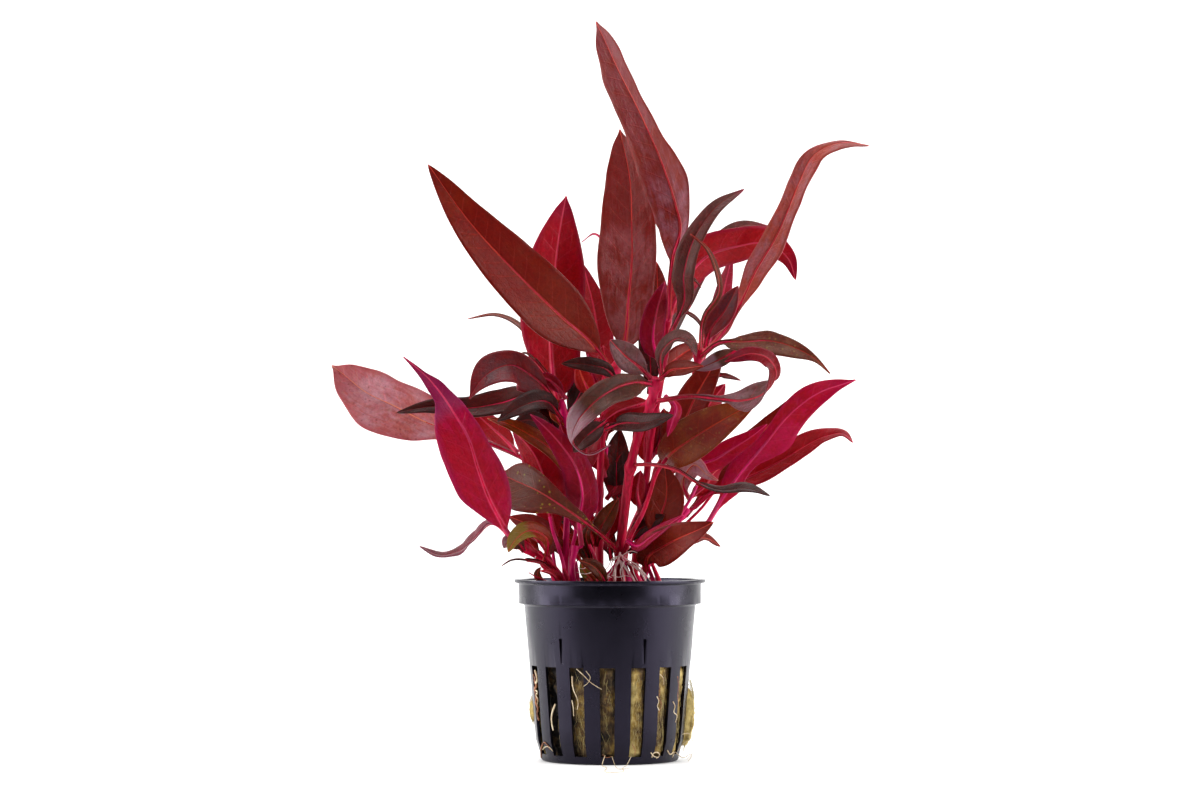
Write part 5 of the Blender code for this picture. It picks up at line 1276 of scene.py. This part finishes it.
# Bare stalks: the cuttings' thin side shoots, and what leaves that fell have left. Each has its colour,
# its radius at its foot and its tip, and its route.
STALKS = [
    ("stem_pink", 0.6, 0.5, (
        (-1, 1, 91.5), (-1.5, 2, 86.5), (-2.5, 3, 81.5), (-3, 4, 76), (-3, 4, 64), (-2.5, 3, 49.5))),
    ("stem_crimson", 0.7, 0.55, (
        (4, -3, 60.5), (6.5, -6, 66.5), (9.5, -7, 72), (11.5, -7, 77.5), (13.5, -7, 83.5),
        (16.5, -6, 88))),
    ("stem_crimson", 0.7, 0.5, (
        (-15.5, -6, 50.5), (-16.5, -6, 55), (-17.5, -7, 59), (-19.5, -8, 62.5), (-23, -8, 66.5))),
    ("stem_pink", 0.65, 0.5, (
        (-13.5, -4, 50), (-13.5, -4, 56.5), (-15, -5, 62), (-16.5, -6, 66.5), (-17.5, -6, 71))),
    ("stem_crimson", 0.7, 0.5, ((-13, -8, 49.5), (-14.5, -9, 54.5), (-17.5, -10, 58), (-20.5, -11, 61))),
    ("stem_pink", 0.6, 0.5, ((-14.5, 2, 50), (-16, 1, 56), (-17, 0, 62), (-18, 0, 65.5))),
    ("stem_crimson", 0.6, 0.45, ((-3, -8, 51), (-3.5, -8, 55.5), (-4.5, -8, 59.5), (-6, -8, 63))),
    ("stem_pink", 0.7, 0.5, (
        (-11.5, -4, 50), (-11.5, -4, 56.5), (-11, -4, 62), (-10, -4, 66.5), (-11, -3, 72))),
    ("stem_crimson", 0.55, 0.45, (
        (13.5, 4, 58.5), (16.5, 5, 62.5), (20, 6, 66.5), (23.5, 6, 70), (27, 6.5, 73.5), (30.5, 7, 78))),
    ("stem_pink", 0.55, 0.45, ((18.5, 4, 67.5), (21, 3, 72), (23.5, 2, 76), (25.5, 1, 80))),
    ("stem_crimson", 1.3, 0.5, ((-7, -4, 48), (-6.5, -5, 52), (-4.5, -6, 57))),
    ("stem_pink", 1.1, 0.4, ((-4, -5, 48), (-2, -6, 52), (1.5, -5, 57))),
    ("stem_crimson", 1.4, 0.6, ((-1, -4, 48), (0.5, -3, 52.5), (2, -2, 58))),
    ("stem_pink", 1.2, 0.4, ((6, -4, 48), (5.5, -3, 53), (4, -2, 58.5))),
    ("stem_crimson", 1.3, 0.5, ((10.5, -3, 48), (8, -3, 53), (5, -2, 58))),
    ("stem_pink", 1.0, 0.4, ((13.5, -1, 48), (12.5, 0, 52.5), (11, 2, 57))),
    ("stem_crimson", 1.1, 0.5, ((-10.5, -6, 48), (-12, -7, 52), (-13.5, -7, 56))),
    ("stem_pink", 1.1, 0.5, ((-9, -3, 48), (-9.5, -3, 53), (-10, -3, 58))),
    ("stem_crimson", 1.0, 0.5, ((15.5, -2, 48), (14, -1, 53), (12, 1, 58))),
]
stalks = {}
for colour, foot, tip, route in STALKS:
    stalks.setdefault(colour, []).append(tapered(smooth_route(route, 24), foot, tip))
for colour, routes in stalks.items():
    made = strands("stalks", routes, sides=8)
    finish_piece(made, colour.replace("stem", "bare_stalks"), STEM_SKINS[colour])


# White roots that break from the joints of the cuttings just above the wool. Each has its radius at its
# foot and its tip, and its route.
ROOTS = [
    (0.35, 0.12, ((3, -3, 60.5), (2.5, -5, 58.5), (1.5, -6, 56), (1, -6, 54.5), (1, -5, 52))),
    (0.3, 0.12, ((3, -4, 60), (5, -8, 58.5), (7, -10, 57.5), (9, -12, 56))),
    (0.22, 0.08, ((7.5, -10, 57.5), (9, -11, 56), (10, -12, 54), (10.5, -12, 52.5))),
    (0.25, 0.1, ((2.5, -4, 59.5), (3, -7, 58), (4.5, -8, 56), (5.5, -8, 54))),
    (0.22, 0.1, ((3.5, -3, 59.5), (5, -6, 60.5), (6.5, -8, 61), (8, -9, 60.5))),
    (0.2, 0.08, ((3.5, -5, 59), (4, -9, 57.5), (3, -10, 55.5), (3.5, -10, 52.5))),
    (0.22, 0.08, ((2.5, -2, 59.5), (0.5, -5, 58.5), (-0.5, -7, 56.5), (-2, -8, 54.5), (-2.5, -8, 52.5))),
    (0.2, 0.08, ((2, -3, 59), (0.5, -6, 57.5), (0.5, -8, 55.5), (-1, -9, 53.5))),
    (0.18, 0.08, ((-5, -12, 55), (-7.5, -14, 54.5), (-9.5, -15, 55))),
    (0.18, 0.08, ((-6.5, -12, 57), (-8, -14, 56), (-9.5, -14, 56.5))),
    (0.18, 0.08, ((-21.5, -12, 59.5), (-22, -13, 58.5), (-23, -13, 58))),
    (0.18, 0.08, ((5, -6, 58.5), (6.5, -9, 56.5), (7, -10, 54.5), (8, -11, 52.5))),
    (0.16, 0.07, ((0.5, -8, 54), (2.5, -11, 53.5), (4.5, -13, 54), (6.5, -14, 53.5))),
    (0.16, 0.07, ((-3.5, -10, 53.5), (-1.5, -12, 54), (0.5, -13, 53.5))),
    (0.5, 0.2, ((3.5, -2, 57.5), (5, -5, 55.5), (6.5, -7, 53.5), (8, -8, 50))),
    (0.42, 0.2, ((3, -2, 58), (3.5, -5, 56), (4, -7, 53.5), (4.5, -8, 50))),
    (0.42, 0.16, ((4, -1, 58), (7, -4, 56.5), (9.5, -6, 54), (11, -7, 50))),
    (0.36, 0.16, ((2, -2, 57.5), (0.5, -5, 55.5), (-1, -7, 53), (-2, -8, 50))),
    (0.5, 0.2, ((2.5, -2, 58), (1.5, -6, 56), (1.5, -8, 53.5), (1.5, -9, 50))),
    (0.35, 0.15, ((5, -2, 57.5), (8, -6, 56), (10, -8, 54.5), (12, -9, 52))),
]
# A young root is glassy white, blushed with the stem's pink in places.
white_root, tree, shader = new_material("young_white_root", Roughness=0.4, IOR=1.4)
place = add(tree, "TexCoord", {}).outputs["Object"]
blush = add(tree, "TexNoise", {"Vector": place, "Scale": 260.0, "Detail": 3.0})
mix = add(tree, "MapRange", {0: blush, 1: 0.35, 2: 0.65})
colour = add(tree, "MixRGB", {0: mix, 1: linear("#bc7c84"), 2: linear("#dcc6c0")})
feed(tree, shader, Base_Color=colour)
routes = [tapered(smooth_route(route, 20), foot, tip) for foot, tip, route in ROOTS]
finish_piece(strands("white_roots", routes, sides=6), "white_roots", white_root)
